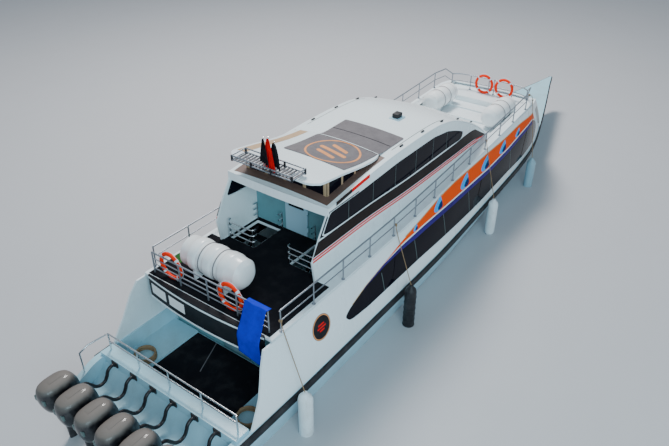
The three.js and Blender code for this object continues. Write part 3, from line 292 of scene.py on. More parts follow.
# Shapes: each gives (points, faces).
def inside(point, loop):
    """Whether a point lies within a loop."""
    x, y = point
    hit = False
    for (x0, y0), (x1, y1) in zip(loop, loop[1:] + loop[:1]):
        if (y0 > y) != (y1 > y) and x < (x1 - x0) * (y - y0) / (y1 - y0) + x0:
            hit = not hit
    return hit


def far_from(point, loop, gap):
    """Whether a point keeps a gap from a loop."""
    p = Vector(point)
    for a, b in zip(loop, loop[1:] + loop[:1]):
        a, b = Vector(a), Vector(b)
        t = max(0.0, min(1.0, (p - a).dot(b - a) / max((b - a).length_squared, 1e-12)))
        if (p - a.lerp(b, t)).length < gap:
            return False
    return True


def densed(loop, step):
    """The loop with points added along its sides."""
    out = []
    for a, b in zip(loop, loop[1:] + loop[:1]):
        count = max(1, round(max(abs(b[0] - a[0]) / step[0], abs(b[1] - a[1]) / step[1])))
        out += [(a[0] + (b[0] - a[0]) * i / count, a[1] + (b[1] - a[1]) * i / count) for i in range(count)]
    return out


def oblong(u0, v0, u1, v1):
    """Corners of a rectangle."""
    return [(u0, v0), (u1, v0), (u1, v1), (u0, v1)]


def oval(u, v, wide, tall, count):
    """Points of an ellipse round a centre."""
    return [(u + wide * math.cos(a), v + tall * math.sin(a)) for a in steps(0, 2 * math.pi, count)[:-1]]


def strip(line, rise):
    """A band of even height on a line of points."""
    return line + [(x, z + rise) for x, z in line[::-1]]


def rounded(loop, radius, turns=5):
    """The loop with its corners turned into short arcs."""
    out = []
    n = len(loop)
    for i in range(n):
        p, a, b = Vector(loop[i]), Vector(loop[i - 1]), Vector(loop[(i + 1) % n])
        reach = min(radius, (a - p).length * 0.45, (b - p).length * 0.45)
        start = p + (a - p).normalized() * reach
        end = p + (b - p).normalized() * reach
        for k in range(turns + 1):
            t = k / turns
            q = start * (1 - t) ** 2 + p * 2 * t * (1 - t) + end * t * t
            out.append((q.x, q.y))
    return out


def inset(loop, by):
    """The loop drawn in by a distance."""
    area = sum(a[0] * b[1] - b[0] * a[1] for a, b in zip(loop, loop[1:] + loop[:1]))
    turn = 1 if area > 0 else -1
    out = []
    n = len(loop)
    for i in range(n):
        p, a, b = Vector(loop[i]), Vector(loop[i - 1]), Vector(loop[(i + 1) % n])
        e0, e1 = (p - a).normalized(), (b - p).normalized()
        n0, n1 = Vector((-e0.y, e0.x)) * turn, Vector((-e1.y, e1.x)) * turn
        mid = (n0 + n1).normalized()
        q = p + mid * (by / max(mid.dot(n0), 0.3))
        out.append((q.x, q.y))
    return out


def panel(outline, place, thick, step=(0.3, 0.3), holes=()):
    """A sheet of even thickness over an outline in its own two coordinates."""
    loops = [densed(list(outline), step)] + [densed(list(h), step) for h in holes]
    points, edges = [], []
    for loop in loops:
        start = len(points)
        points += loop
        edges += [(start + i, start + (i + 1) % len(loop)) for i in range(len(loop))]
    us, vs = [p[0] for p in loops[0]], [p[1] for p in loops[0]]
    for u in steps(min(us), max(us), max(1, round((max(us) - min(us)) / step[0])))[1:-1]:
        for v in steps(min(vs), max(vs), max(1, round((max(vs) - min(vs)) / step[1])))[1:-1]:
            clear = all(far_from((u, v), loop, 0.3 * min(step)) for loop in loops)
            if clear and inside((u, v), loops[0]) and not any(inside((u, v), h) for h in loops[1:]):
                points.append((u, v))
    made = delaunay_2d_cdt([Vector(p) for p in points], edges, [], 1, 1e-7)
    flat, tris = made[0], made[2]
    kept = []
    for tri in tris:
        c = sum((flat[i] for i in tri), Vector((0, 0))) / len(tri)
        if inside(c, loops[0]) and not any(inside(c, h) for h in loops[1:]):
            kept.append(tuple(tri))
    count = len(flat)
    solid = [place(p.x, p.y, 0.0) for p in flat] + [place(p.x, p.y, thick) for p in flat]
    faces = [tuple(t) for t in kept] + [tuple(i + count for i in reversed(t)) for t in kept]
    rim = {}
    for tri in kept:
        for a, b in zip(tri, tri[1:] + tri[:1]):
            rim[(a, b)] = True
    faces += [(b, a, a + count, b + count) for a, b in rim if (b, a) not in rim]
    return solid, faces


def loft(rings, closed=False):
    """A skin over rings of points, closed to a loop or capped at both ends."""
    n = len(rings[0])
    points = [tuple(p) for ring in rings for p in ring]
    faces = []
    count = len(rings)
    for r in range(count if closed else count - 1):
        a0, b0 = r * n, ((r + 1) % count) * n
        faces += [(a0 + i, a0 + (i + 1) % n, b0 + (i + 1) % n, b0 + i) for i in range(n)]
    if not closed:
        faces.append(tuple(reversed(range(n))))
        faces.append(tuple(range((count - 1) * n, count * n)))
    return points, faces


def curve_through(points, per=6):
    """Points of a smooth curve through the given ones."""
    p = [Vector(q) for q in points]
    p = [p[0] * 2 - p[1]] + p + [p[-1] * 2 - p[-2]]
    out = []
    for i in range(1, len(p) - 2):
        for k in range(per):
            t = k / per
            out.append(
                0.5 * (
                    2 * p[i]
                    + (p[i + 1] - p[i - 1]) * t
                    + (2 * p[i - 1] - 5 * p[i] + 4 * p[i + 1] - p[i + 2]) * t * t
                    + (3 * p[i] - p[i - 1] - 3 * p[i + 1] + p[i + 2]) * t ** 3
                )
            )
    return out + [p[-2]]


def frames_along(points, closed=False):
    """A moving pair of cross axes along a run of points, with the least twist."""
    p = [Vector(q) for q in points]
    n = len(p)
    tangents = []
    for i in range(n):
        a = p[i - 1] if i or closed else p[0]
        b = p[(i + 1) % n] if i < n - 1 or closed else p[-1]
        tangents.append((b - a).normalized())
    up = Vector((0, 0, 1)) if abs(tangents[0].z) < 0.9 else Vector((0, 1, 0))
    u = up.cross(tangents[0]).normalized()
    out = []
    for t in tangents:
        u = (u - t * u.dot(t)).normalized()
        out.append((u.copy(), t.cross(u)))
    return p, out


def tube(points, radius, sides=10, closed=False, strands=0, lay=0.1):
    """A round bar or rope along a run of points. A laid rope has strands that turn once in each lay."""
    p, axes = frames_along(points, closed)
    rings, run = [], 0.0
    for i, (u, w) in enumerate(axes):
        if i:
            run += (p[i] - p[i - 1]).length
        ring = []
        for k in range(sides):
            a = 2 * math.pi * k / sides
            r = radius
            if strands:
                swell = abs(math.cos(strands / 2 * (a + 2 * math.pi * run / lay)))
                r *= 0.80 + 0.22 * swell
            ring.append(p[i] + u * r * math.cos(a) + w * r * math.sin(a))
        rings.append(ring)
    return loft(rings, closed=closed)


def mitred(points, radius, sides=10):
    """A round bar with sharp elbows, each ring lying in its elbow's plane."""
    p = [Vector(q) for q in points]
    run = [(b - a).normalized() for a, b in zip(p, p[1:])]
    up = Vector((0, 0, 1)) if abs(run[0].z) < 0.9 else Vector((0, 1, 0))
    u = up.cross(run[0]).normalized()
    w = run[0].cross(u)
    turns = [2 * math.pi * k / sides for k in range(sides)]
    ring = [p[0] + u * radius * math.cos(a) + w * radius * math.sin(a) for a in turns]
    rings = [ring]
    for i in range(1, len(p)):
        way = run[i - 1]
        plane = (way + run[i]).normalized() if i < len(run) else way
        ring = [q + way * ((p[i] - q).dot(plane) / way.dot(plane)) for q in ring]
        rings.append(ring)
    return loft(rings)


def turned(profile, centre, axis="z", sides=32):
    """A lathed body from (along, radius) pairs, with its ends closed on the axis."""
    turn = {"x": 0, "y": 1, "z": 2}[axis]
    rings = []
    for far, r in profile:
        ring = []
        for k in range(sides):
            a = 2 * math.pi * k / sides
            local = [r * math.cos(a), r * math.sin(a)]
            q = [0.0, 0.0, 0.0]
            q[turn] = far
            q[(turn + 1) % 3] = local[0]
            q[(turn + 2) % 3] = local[1]
            ring.append([c + d for c, d in zip(centre, q)])
        rings.append(ring)
    return loft(rings)


def ring_shape(centre, axis, ring, tube_r, around=48, sides=14, start=0.0, sweep=2 * math.pi):
    """A torus or an arc of one."""
    closed = abs(sweep - 2 * math.pi) < 1e-6
    turn = {"x": 0, "y": 1, "z": 2}[axis]
    rings = []
    for i in range(around if closed else around + 1):
        a = start + sweep * i / around
        out = [0.0, 0.0, 0.0]
        out[(turn + 1) % 3], out[(turn + 2) % 3] = math.cos(a), math.sin(a)
        out = Vector(out)
        up = Vector([1.0 if k == turn else 0.0 for k in range(3)])
        spin = [2 * math.pi * k / sides for k in range(sides)]
        rings.append([
            Vector(centre) + out * (ring + tube_r * math.cos(b)) + up * tube_r * math.sin(b) for b in spin
        ])
    return loft(rings, closed=closed)


def slab(low, high, bevel=0.006):
    """A box between two corners with rounded edges."""
    bm = bmesh.new()
    bmesh.ops.create_cube(bm, size=1)
    size = [b - a for a, b in zip(low, high)]
    for v in bm.verts:
        v.co = Vector([a + s * (c + 0.5) for a, s, c in zip(low, size, v.co)])
    if bevel:
        reach = min(bevel, min(size) * 0.45)
        bmesh.ops.bevel(bm, geom=bm.edges[:], offset=reach, segments=2, affect="EDGES", profile=0.6)
    bm.verts.index_update()
    shape = [tuple(v.co) for v in bm.verts], [tuple(v.index for v in f.verts) for f in bm.faces]
    bm.free()
    return shape


class Piece:
    """Gathers shapes, each with its finish, and makes one mesh object of them."""

    def __init__(self, name):
        self.name = name
        self.points, self.faces, self.slots, self.finishes = [], [], [], []

    def add(self, shape, finish):
        if finish not in self.finishes:
            self.finishes.append(finish)
        start = len(self.points)
        self.points += [tuple(p) for p in shape[0]]
        self.faces += [tuple(i + start for i in f) for f in shape[1]]
        self.slots += [self.finishes.index(finish)] * len(shape[1])
        return self

    def film(self, edge, place, finish, step=FILM_STEP, holes=()):
        """Paint that follows a surface."""
        return self.add(panel(edge, place, FOLLOW, step=step, holes=holes), finish)

    def make(self, body="boat", slot=None, replaces=(), sharp=35, bevel=0.0, rides=True):
        mesh = bpy.data.meshes.new(self.name)
        mesh.from_pydata(self.points, [], self.faces)
        mesh.validate()
        for finish in self.finishes:
            mesh.materials.append(surface(finish))
        if len(self.finishes) > 1:
            mesh.polygons.foreach_set("material_index", self.slots[: len(mesh.polygons)])
        bm = bmesh.new()
        bm.from_mesh(mesh)
        bmesh.ops.recalc_face_normals(bm, faces=bm.faces)
        bm.to_mesh(mesh)
        bm.free()
        mesh.shade_smooth()
        mesh.set_sharp_from_angle(angle=math.radians(sharp))
        made = bpy.data.objects.new(self.name, mesh)
        bpy.context.scene.collection.objects.link(made)
        if bevel:
            edge = made.modifiers.new("rounded edge", "BEVEL")
            edge.width = bevel
            edge.segments = 3
            edge.limit_method = "ANGLE"
            edge.angle_limit = math.radians(50)
            edge.harden_normals = True
        if rides:
            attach(made, body)
        if replaces:
            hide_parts(*replaces)
        return made


def skin_of(name, finish, slot, body="boat", sharp=30):
    """A smooth-shaded copy of a solid whose form is right, with its own finish."""
    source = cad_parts[name].data
    piece = Piece(name + "_skin")
    piece.add(([tuple(v.co) for v in source.vertices], [tuple(f.vertices) for f in source.polygons]), finish)
    made = piece.make(body=body, slot=slot, replaces=[name], sharp=sharp)
    bm = bmesh.new()
    bm.from_mesh(made.data)
    bmesh.ops.remove_doubles(bm, verts=bm.verts, dist=1e-5)
    bmesh.ops.dissolve_limit(bm, angle_limit=math.radians(0.5), verts=bm.verts, edges=bm.edges)
    bmesh.ops.recalc_face_normals(bm, faces=bm.faces)
    bm.to_mesh(made.data)
    bm.free()
    made.data.shade_smooth()
    made.data.set_sharp_from_angle(angle=math.radians(sharp))
    return made


# Materials. Nodes are made by one short call each.
def node(tree, kind, inputs=None, **settings):
    made = tree.nodes.new(kind)
    for key, value in settings.items():
        setattr(made, key, value)
    for key, value in (inputs or {}).items():
        if isinstance(value, bpy.types.NodeSocket):
            tree.links.new(value, made.inputs[key])
        else:
            made.inputs[key].default_value = value
    return made


def arithmetic(tree, operation, *values):
    """Output of a sum of one or two values."""
    return node(tree, "ShaderNodeMath", dict(enumerate(values)), operation=operation).outputs[0]


def remap(tree, value, low, high, new_low=0.0, new_high=1.0):
    """Output of a value brought from one range to another."""
    ends = {"From Min": low, "From Max": high, "To Min": new_low, "To Max": new_high}
    return node(tree, "ShaderNodeMapRange", {"Value": value, **ends}).outputs[0]


def noise(tree, where, scale, detail, roughness=0.5):
    """Output of a cloudy noise."""
    looks = {"Vector": where, "Scale": scale, "Detail": detail, "Roughness": roughness}
    return node(tree, "ShaderNodeTexNoise", looks).outputs["Fac"]


def mixed(tree, share, first, second):
    """Output of a second colour laid over the first by a share."""
    return node(tree, "ShaderNodeMix", {0: share, 6: first, 7: second}, data_type="RGBA").outputs[2]


def new_group(name, inputs, outputs):
    """A shader node group with its sockets, and its two end nodes."""
    group = bpy.data.node_groups.new(name, "ShaderNodeTree")
    for label, kind, default in inputs:
        socket = group.interface.new_socket(name=label, in_out="INPUT", socket_type=kind)
        socket.default_value = default
    for label, kind in outputs:
        group.interface.new_socket(name=label, in_out="OUTPUT", socket_type=kind)
    return group, group.nodes.new("NodeGroupInput"), group.nodes.new("NodeGroupOutput")


COLOUR = "NodeSocketColor"
NUMBER = "NodeSocketFloat"


def weather_group():
    """Salt, dust and run marks: a stained colour, and a mask that follows the stain."""
    found = bpy.data.node_groups.get("Weather")
    if found:
        return found
    group, start, end = new_group(
        "Weather",
        [("Colour", COLOUR, (1, 1, 1, 1)), ("Grime", COLOUR, (0.3, 0.28, 0.25, 1)), ("Amount", NUMBER, 0.3),
         ("Size", NUMBER, 1.0), ("Run", NUMBER, 0.3)],
        [("Colour", COLOUR), ("Stain", NUMBER), ("Height", NUMBER)],
    )
    where = node(group, "ShaderNodeTexCoord").outputs["Object"]
    size = start.outputs["Size"]
    run = arithmetic(group, "MULTIPLY", size, start.outputs["Run"])
    scale = node(group, "ShaderNodeCombineXYZ", {"X": size, "Y": size, "Z": run}).outputs[0]
    stretched = node(group, "ShaderNodeVectorMath", {0: where, 1: scale}, operation="MULTIPLY").outputs[0]
    fine = noise(group, where, 38.0, 3.0)
    edge = remap(group, noise(group, stretched, 2.2, 6.0, 0.62), 0.46, 0.78)
    fleck = remap(group, fine, 0.35, 0.7, 0.55, 1.0)
    both = arithmetic(group, "MULTIPLY", edge, fleck)
    stain = arithmetic(group, "MULTIPLY", both, start.outputs["Amount"])
    shade = mixed(group, stain, start.outputs["Colour"], start.outputs["Grime"])
    for value, key in ((shade, "Colour"), (both, "Stain"), (fine, "Height")):
        group.links.new(value, end.inputs[key])
    return group


def weave_group():
    """Threads that cross: the colour darkened by painted shade in the threads' pattern, in random patches,
    and their height.
    """
    found = bpy.data.node_groups.get("Weave")
    if found:
        return found
    group, start, end = new_group(
        "Weave",
        [("Colour", COLOUR, (1, 1, 1, 1)), ("Deep", COLOUR, (0.2, 0.2, 0.2, 1)), ("Threads", NUMBER, 200.0)],
        [("Colour", COLOUR), ("Height", NUMBER)],
    )
    where = node(group, "ShaderNodeTexCoord").outputs["Object"]
    axes = node(group, "ShaderNodeSeparateXYZ", {0: where}).outputs
    slant = arithmetic(group, "ADD", axes["X"], axes["Z"])
    weft = arithmetic(group, "SINE", arithmetic(group, "MULTIPLY", slant, start.outputs["Threads"]))
    warp = arithmetic(group, "SINE", arithmetic(group, "MULTIPLY", axes["Y"], start.outputs["Threads"]))
    height = remap(group, arithmetic(group, "MULTIPLY", weft, warp), -1.0, 1.0)
    shade_patches = remap(group, noise(group, where, 5.0, 5.0), 0.35, 0.75, 0.0, 0.6)
    depth = arithmetic(group, "MULTIPLY", shade_patches, height)
    shade = mixed(group, depth, start.outputs["Colour"], start.outputs["Deep"])
    group.links.new(shade, end.inputs["Colour"])
    group.links.new(height, end.inputs["Height"])
    return group


def grain_group():
    """A pebbled surface such as deck grip or moulded plastic."""
    found = bpy.data.node_groups.get("Grain")
    if found:
        return found
    group, start, end = new_group("Grain", [("Scale", NUMBER, 100.0)], [("Height", NUMBER)])
    where = node(group, "ShaderNodeTexCoord").outputs["Object"]
    cells = node(group, "ShaderNodeTexVoronoi", {"Vector": where, "Scale": start.outputs["Scale"]})
    group.links.new(cells.outputs["Distance"], end.inputs["Height"])
    return group


# Finishes: colour name, grime, grime amount, stain size, run, roughness clean and stained, metallic, coat,
# kind of relief, relief scale and relief depth in metres.
FINISHES = {
    "gelcoat": ("white", "salt", 0.22, 0.7, 0.35, 0.24, 0.48, 0.0, 0.4, "fine", 0, 0.0004),
    # The hull's finish is white gelcoat with painted shade: pale blue all over.
    "hull_gelcoat": ("hull", "rust", 0.35, 0.6, 0.45, 0.28, 0.55, 0.0, 0.3, "fine", 0, 0.0005),
    "deck_grip": ("deck_white", "dust", 0.22, 1.1, 1.0, 0.55, 0.75, 0.0, 0.0, "grain", 160, 0.0012),
    "carpet": ("black", "dust", 0.10, 1.6, 1.0, 0.92, 0.98, 0.0, 0.0, "grain", 320, 0.003),
    "green_patch": ("green", "black", 0.4, 2.0, 1.0, 0.85, 0.95, 0.0, 0.0, "grain", 260, 0.003),
    "glass": ("glass", "dust", 0.03, 1.0, 0.3, 0.05, 0.16, 0.0, 0.0, "fine", 0, 0.0001),
    "seam": ("slate", "dust", 0.2, 3.0, 1.0, 0.45, 0.7, 0.0, 0.0, "fine", 0, 0.0003),
    "steel": ("steel", "dust", 0.2, 4.0, 0.5, 0.22, 0.40, 1.0, 0.0, "fine", 0, 0.0001),
    "rail_steel": ("rail", "dust", 0.25, 4.0, 0.5, 0.30, 0.50, 0.7, 0.0, "fine", 0, 0.0001),
    "rubber": ("black", "dust", 0.35, 2.0, 0.6, 0.6, 0.8, 0.0, 0.0, "grain", 240, 0.0006),
    "hose": ("black", "dust", 0.15, 5.0, 1.0, 0.38, 0.6, 0.0, 0.1, "fine", 0, 0.0004),
    "raft_shell": ("raft", "salt", 0.35, 1.4, 0.6, 0.3, 0.55, 0.0, 0.3, "fine", 0, 0.0006),
    "strap": ("grey", "dust", 0.4, 6.0, 1.0, 0.7, 0.9, 0.0, 0.0, "weave", 900, 0.0006),
    "buoy": ("buoy", "dust", 0.2, 5.0, 1.0, 0.5, 0.7, 0.0, 0.0, "fine", 0, 0.0006),
    "buoy_band": ("raft", "dust", 0.3, 5.0, 1.0, 0.45, 0.7, 0.0, 0.0, "fine", 0, 0.0004),
    "fender": ("raft", "rust", 0.4, 2.2, 0.5, 0.4, 0.7, 0.0, 0.0, "grain", 200, 0.0008),
    # The fore fender: white with painted shade, grey-blue all over.
    "fender_blue": ("fender_shade", "salt", 0.4, 2.2, 0.5, 0.4, 0.7, 0.0, 0.0, "grain", 200, 0.0008),
    "fender_black": ("black", "dust", 0.4, 2.2, 0.5, 0.5, 0.75, 0.0, 0.0, "grain", 200, 0.0008),
    "banner": ("black", "dust", 0.12, 1.4, 1.0, 0.32, 0.5, 0.0, 0.1, "fine", 0, 0.0003),
    # The cover's grime colour is painted fold shade, in random patches.
    "tarp": ("tarp", "tarp_fold_shade", 0.5, 3.0, 1.0, 0.5, 0.7, 0.0, 0.0, "weave", 1400, 0.0012),
    "flag_red": ("red", "black", 0.4, 4.0, 1.0, 0.7, 0.85, 0.0, 0.0, "weave", 2600, 0.0006),
    "flag_black": ("black", "dust", 0.2, 4.0, 1.0, 0.7, 0.85, 0.0, 0.0, "weave", 2600, 0.0006),
    "rope": ("rope", "rust", 0.55, 9.0, 1.0, 0.85, 0.95, 0.0, 0.0, "weave", 2400, 0.0015),
    "stripe": ("stripe", "rust", 0.06, 0.9, 0.4, 0.5, 0.6, 0.0, 0.0, "fine", 0, 0.0003),
    "gold": ("gold", "rust", 0.3, 0.9, 0.4, 0.35, 0.5, 0.0, 0.2, "fine", 0, 0.0003),
    # pale: pale blue. Round the main windows it is painted shade on the white wall.
    "pale": ("pale", "salt", 0.3, 0.9, 0.4, 0.3, 0.5, 0.0, 0.2, "fine", 0, 0.0003),
    "red_line": ("red", "dust", 0.05, 1.0, 0.5, 0.4, 0.5, 0.0, 0.0, "fine", 0, 0.0003),
    "violet": ("violet", "glass", 0.5, 1.0, 0.5, 0.4, 0.5, 0.0, 0.0, "fine", 0, 0.0003),
    "azure": ("azure", "navy", 0.1, 2.4, 1.0, 0.5, 0.6, 0.0, 0.0, "fine", 0, 0.0003),
    "navy": ("navy", "azure", 0.1, 2.4, 1.0, 0.5, 0.6, 0.0, 0.0, "fine", 0, 0.0003),
    "dark_band": ("umber", "dust", 0.05, 0.8, 0.5, 0.35, 0.5, 0.0, 0.0, "fine", 0, 0.0003),
    "wedge": ("slate", "dust", 0.25, 1.0, 0.6, 0.3, 0.5, 0.0, 0.3, "fine", 0, 0.0003),
    "mat_grey": ("grey", "black", 0.25, 1.6, 1.0, 0.75, 0.9, 0.0, 0.0, "weave", 700, 0.002),
    "peach": ("peach", "grey", 0.45, 1.6, 1.0, 0.7, 0.9, 0.0, 0.0, "weave", 700, 0.002),
    # shelf: timber brown with painted shade from the canopy over it.
    "shelf": ("shaded_timber", "black", 0.5, 1.3, 1.0, 0.45, 0.7, 0.0, 0.1, "fine", 0, 0.0008),
    "tan": ("tan", "shaded_timber", 0.5, 1.2, 1.0, 0.6, 0.8, 0.0, 0.0, "fine", 0, 0.0008),
    "bracket": ("black", "rust", 0.2, 4.0, 0.6, 0.4, 0.6, 0.0, 0.2, "fine", 0, 0.0004),
    "prop": ("steel", "dust", 0.25, 5.0, 1.0, 0.2, 0.4, 1.0, 0.0, "fine", 0, 0.0002),
    "floor": ("floor", "floor_deep", 0.4, 0.2, 1.0, 0.6, 0.7, 0.0, 0.0, "fine", 0, 0.0005),
    "rubber_mat": ("black", "dust", 0.2, 1.2, 1.0, 0.8, 0.95, 0.0, 0.0, "grain", 120, 0.003),
    # Bulkheads: white with painted shade, teal all over.
    "interior": ("interior", "dust", 0.3, 1.0, 1.0, 0.6, 0.8, 0.0, 0.0, "fine", 0, 0.0005),
}
# Finishes that mirror little.
DULL = ("glass", "dark_band", "carpet", "banner", "flag_red", "flag_black", "stripe", "azure", "navy", "tarp",
        "rubber_mat", "red_line", "buoy", "violet")
MIRROR_DULL = 0.05
MIRROR = 0.4
COAT_ROUGHNESS = 0.12
# Painted shade between the threads of every woven finish.
WEAVE_SHADE = 0.45       # how dark a cloth is between its threads
BUMP = 0.6
COWL_FADE = (1.62, 1.74)    # heights between which the cowls' paint fades
COWL_BUMP = 0.5


def new_material(name):
    """A material with its nodes and its shader."""
    made = bpy.data.materials.new(name)
    made.use_nodes = True
    return made, made.node_tree, made.node_tree.nodes["Principled BSDF"]


def join_shader(tree, shader, shade, rough, height, strength, depth):
    """Colour, roughness and relief go to the shader."""
    bump = node(tree, "ShaderNodeBump", {"Strength": strength, "Distance": depth, "Height": height})
    for value, key in ((shade, "Base Color"), (rough, "Roughness"), (bump.outputs[0], "Normal")):
        tree.links.new(value, shader.inputs[key])


def surface(name):
    """A procedural material by its finish name, made once."""
    if name in bpy.data.materials:
        return bpy.data.materials[name]
    if name == "cowl":
        return cowl_paint()
    paint = bpy.context.scene.ferry_paint
    colour, grime, amount, size, run, clean, stained, metal, coat, relief, scale, depth = FINISHES[name]
    tone = getattr(paint, colour)
    made, tree, shader = new_material(name)
    looks = {"Metallic": metal, "Coat Weight": coat, "Coat Roughness": COAT_ROUGHNESS,
             "Specular IOR Level": MIRROR_DULL if name in DULL else MIRROR}
    for key, value in looks.items():
        shader.inputs[key].default_value = value
    stains = {"Colour": (*tone, 1), "Grime": (*getattr(paint, grime), 1), "Amount": amount, "Size": size,
              "Run": run}
    weather = node(tree, "ShaderNodeGroup", stains, node_tree=weather_group()).outputs
    shade, height = weather["Colour"], weather["Height"]
    if relief == "weave":
        # Painted shade between the threads: the cloth's colour darkened by WEAVE_SHADE.
        deep = (*[c * WEAVE_SHADE for c in tone], 1)
        cloth = {"Colour": shade, "Deep": deep, "Threads": scale}
        weave = node(tree, "ShaderNodeGroup", cloth, node_tree=weave_group()).outputs
        shade, height = weave["Colour"], weave["Height"]
    if relief == "grain":
        height = node(tree, "ShaderNodeGroup", {"Scale": scale}, node_tree=grain_group()).outputs["Height"]
    rough = remap(tree, weather["Stain"], 0.0, 1.0, clean, stained)
    join_shader(tree, shader, shade, rough, height, BUMP, depth)
    return made


def cowl_paint():
    """Gloss black engine paint whose top has faded in the sun."""
    paint = bpy.context.scene.ferry_paint
    made, tree, shader = new_material("cowl")
    shader.inputs["Coat Weight"].default_value = 0.3
    where = node(tree, "ShaderNodeTexCoord").outputs["Object"]
    lift = arithmetic(tree, "MULTIPLY", noise(tree, where, 6.0, 5.0), 0.12)
    height = node(tree, "ShaderNodeSeparateXYZ", {0: where}).outputs["Z"]
    fade = remap(tree, arithmetic(tree, "ADD", height, lift), *COWL_FADE, 0.0, 0.85)
    shade = mixed(tree, fade, (*paint.black, 1), (*paint.faded, 1))
    stains = {"Colour": shade, "Grime": (*paint.dust, 1), "Amount": 0.3, "Size": 3.0, "Run": 1.0}
    weather = node(tree, "ShaderNodeGroup", stains, node_tree=weather_group()).outputs
    rough = remap(tree, fade, 0.0, 1.0, 0.28, 0.7)
    join_shader(tree, shader, weather["Colour"], rough, weather["Height"], COWL_BUMP, 0.0004)
    return made


def tint(label, value, note):
    return bpy.props.FloatVectorProperty(
        name=label, description=note, default=value, size=3, min=0.0, max=1.0, subtype="COLOR")


class FerryPaint(bpy.types.PropertyGroup):
    white: tint("Gelcoat", (0.88, 0.96, 0.98), "White of the shells")
    hull: tint("Hull", (0.40, 0.66, 0.76), "White of the hull in its blue shade")
    # Painted shade: the hull is white, and this pale blue stands for its flank lying in shade.
    deck_white: tint("Deck", (0.76, 0.84, 0.87), "White of the gripped decks")
    raft: tint("Canister", (0.76, 0.84, 0.87), "White of canisters, bands and fenders")
    # Painted shade: the bulkheads of both cabins are white, and this teal stands for the shade they lie in.
    interior: tint("Interior", (0.16, 0.36, 0.40), "Panels inside the cabins")
    black: tint("Black", (0.010, 0.010, 0.013), "Rubber, carpet and black paint")
    glass: tint("Glass", (0.004, 0.004, 0.009), "Tinted panes")
    steel: tint("Steel", (0.66, 0.68, 0.70), "Polished tube")
    rail: tint("Rail", (0.30, 0.33, 0.37), "Deck rails, duller than new tube")
    grey: tint("Grey", (0.17, 0.155, 0.165), "Roof mat and straps")
    stripe: tint("Stripe", (1.0, 0.085, 0.0), "Orange-red stripe over the windows")
    gold: tint("Gold", (0.62, 0.36, 0.12), "Thin line over the stripe")
    # Pale blue: painted shade on the white wall round the main windows' fore end and below them. The door and
    # a small box's foot take the same colour.
    pale: tint("Pale blue", (0.42, 0.66, 0.78), "Band round the windows' fore end")
    red: tint("Red", (0.85, 0.008, 0.008), "Thin lines and flag")
    violet: tint("Violet", (0.035, 0.018, 0.20), "Strip over the windows")
    azure: tint("Azure", (0.02, 0.42, 0.95), "Aft part of the wave shapes")
    navy: tint("Navy", (0.006, 0.018, 0.12), "Fore part of the wave shapes")
    # Painted shade: a white fender that hangs in shade, given grey-blue.
    fender_shade: tint("Azure grey", (0.30, 0.48, 0.56), "Fender that hangs in the shade")
    umber: tint("Umber", (0.022, 0.013, 0.012), "Dark band of the upper cabin")
    slate: tint("Slate", (0.10, 0.15, 0.145), "Wedge by the front corner, and the panes' seams")
    green: tint("Green", (0.02, 0.14, 0.02), "Patch of turf on the deck")
    buoy: tint("Buoy", (0.95, 0.035, 0.004), "Lifebuoys")
    tarp: tint("Cover", (0.006, 0.030, 0.62), "Blue cover")
    # Painted shade: the darker blue of the cover's folds, laid in random patches by the weather stains.
    tarp_fold_shade: tint("Cover fold", (0.008, 0.016, 0.22), "Cover in its folds")
    rope: tint("Rope", (0.34, 0.22, 0.12), "Mooring ropes")
    peach: tint("Peach", (0.86, 0.34, 0.12), "Ring on the roof mat")
    # Brown of the timber shelf, darkened as it lies in the canopy's shade: partly its own colour, partly
    # painted shade.
    shaded_timber: tint("Timber", (0.16, 0.095, 0.075), "Shelf under the canopy")
    tan: tint("Tan", (0.50, 0.34, 0.20), "Strip on the canopy and its pillars")
    faded: tint("Faded", (0.17, 0.145, 0.125), "Sun-bleached cowl tops")
    salt: tint("Salt", (0.50, 0.60, 0.64), "Salt and dust on white")
    dust: tint("Dust", (0.16, 0.15, 0.15), "Dust on dark pieces")
    rust: tint("Rust", (0.26, 0.15, 0.08), "Run marks and growth")
    floor: tint("Floor", (0.50, 0.51, 0.53), "Stage floor")
    floor_deep: tint("Floor shade", (0.46, 0.47, 0.49), "Stage floor, darker")


def length(label, value, note):
    return bpy.props.FloatProperty(name=label, description=note, default=value, min=0.0, unit="LENGTH")


class FerryGear(bpy.types.PropertyGroup):
    rope_thick: length("Rope", 0.034, "Diameter of the mooring ropes")
    glass_pitch: length("Pane width", 1.60, "Distance between seams of the window bands")
    stripe_gap: length("Stripe gap", 0.042, "White line between glass and stripe")
    buoy_band: bpy.props.FloatProperty(name="Band", description="Width of a lifebuoy's white bands, in turns",
                                       default=0.026, min=0.01, max=0.2)
    lens: bpy.props.FloatProperty(
        name="Lens", description="Focal length of the photograph's view", default=34.83, min=5, unit="CAMERA")


class FerryOperator:
    """What every step of the ferry shares."""
    bl_options = {"REGISTER", "UNDO"}

    def execute(self, context):
        self.build(context, context.scene.ferry_gear)
        return {"FINISHED"}


class FERRY_OT_view(FerryOperator, bpy.types.Operator):
    """Camera at the photograph's place, over the starboard quarter"""
    bl_idname = "ferry.view"
    bl_label = "View"

    def build(self, context, gear):
        lens = bpy.data.cameras.new("view")
        lens.lens = gear.lens
        lens.sensor_width = 36.0
        lens.clip_end = 300
        camera = bpy.data.objects.new("view", lens)
        camera.location = (-16.382, -8.495, 11.415)
        camera.rotation_euler = (math.radians(90 - 32.57), 0.0, math.radians(36.17 - 90))
        context.scene.collection.objects.link(camera)
        context.scene.camera = camera


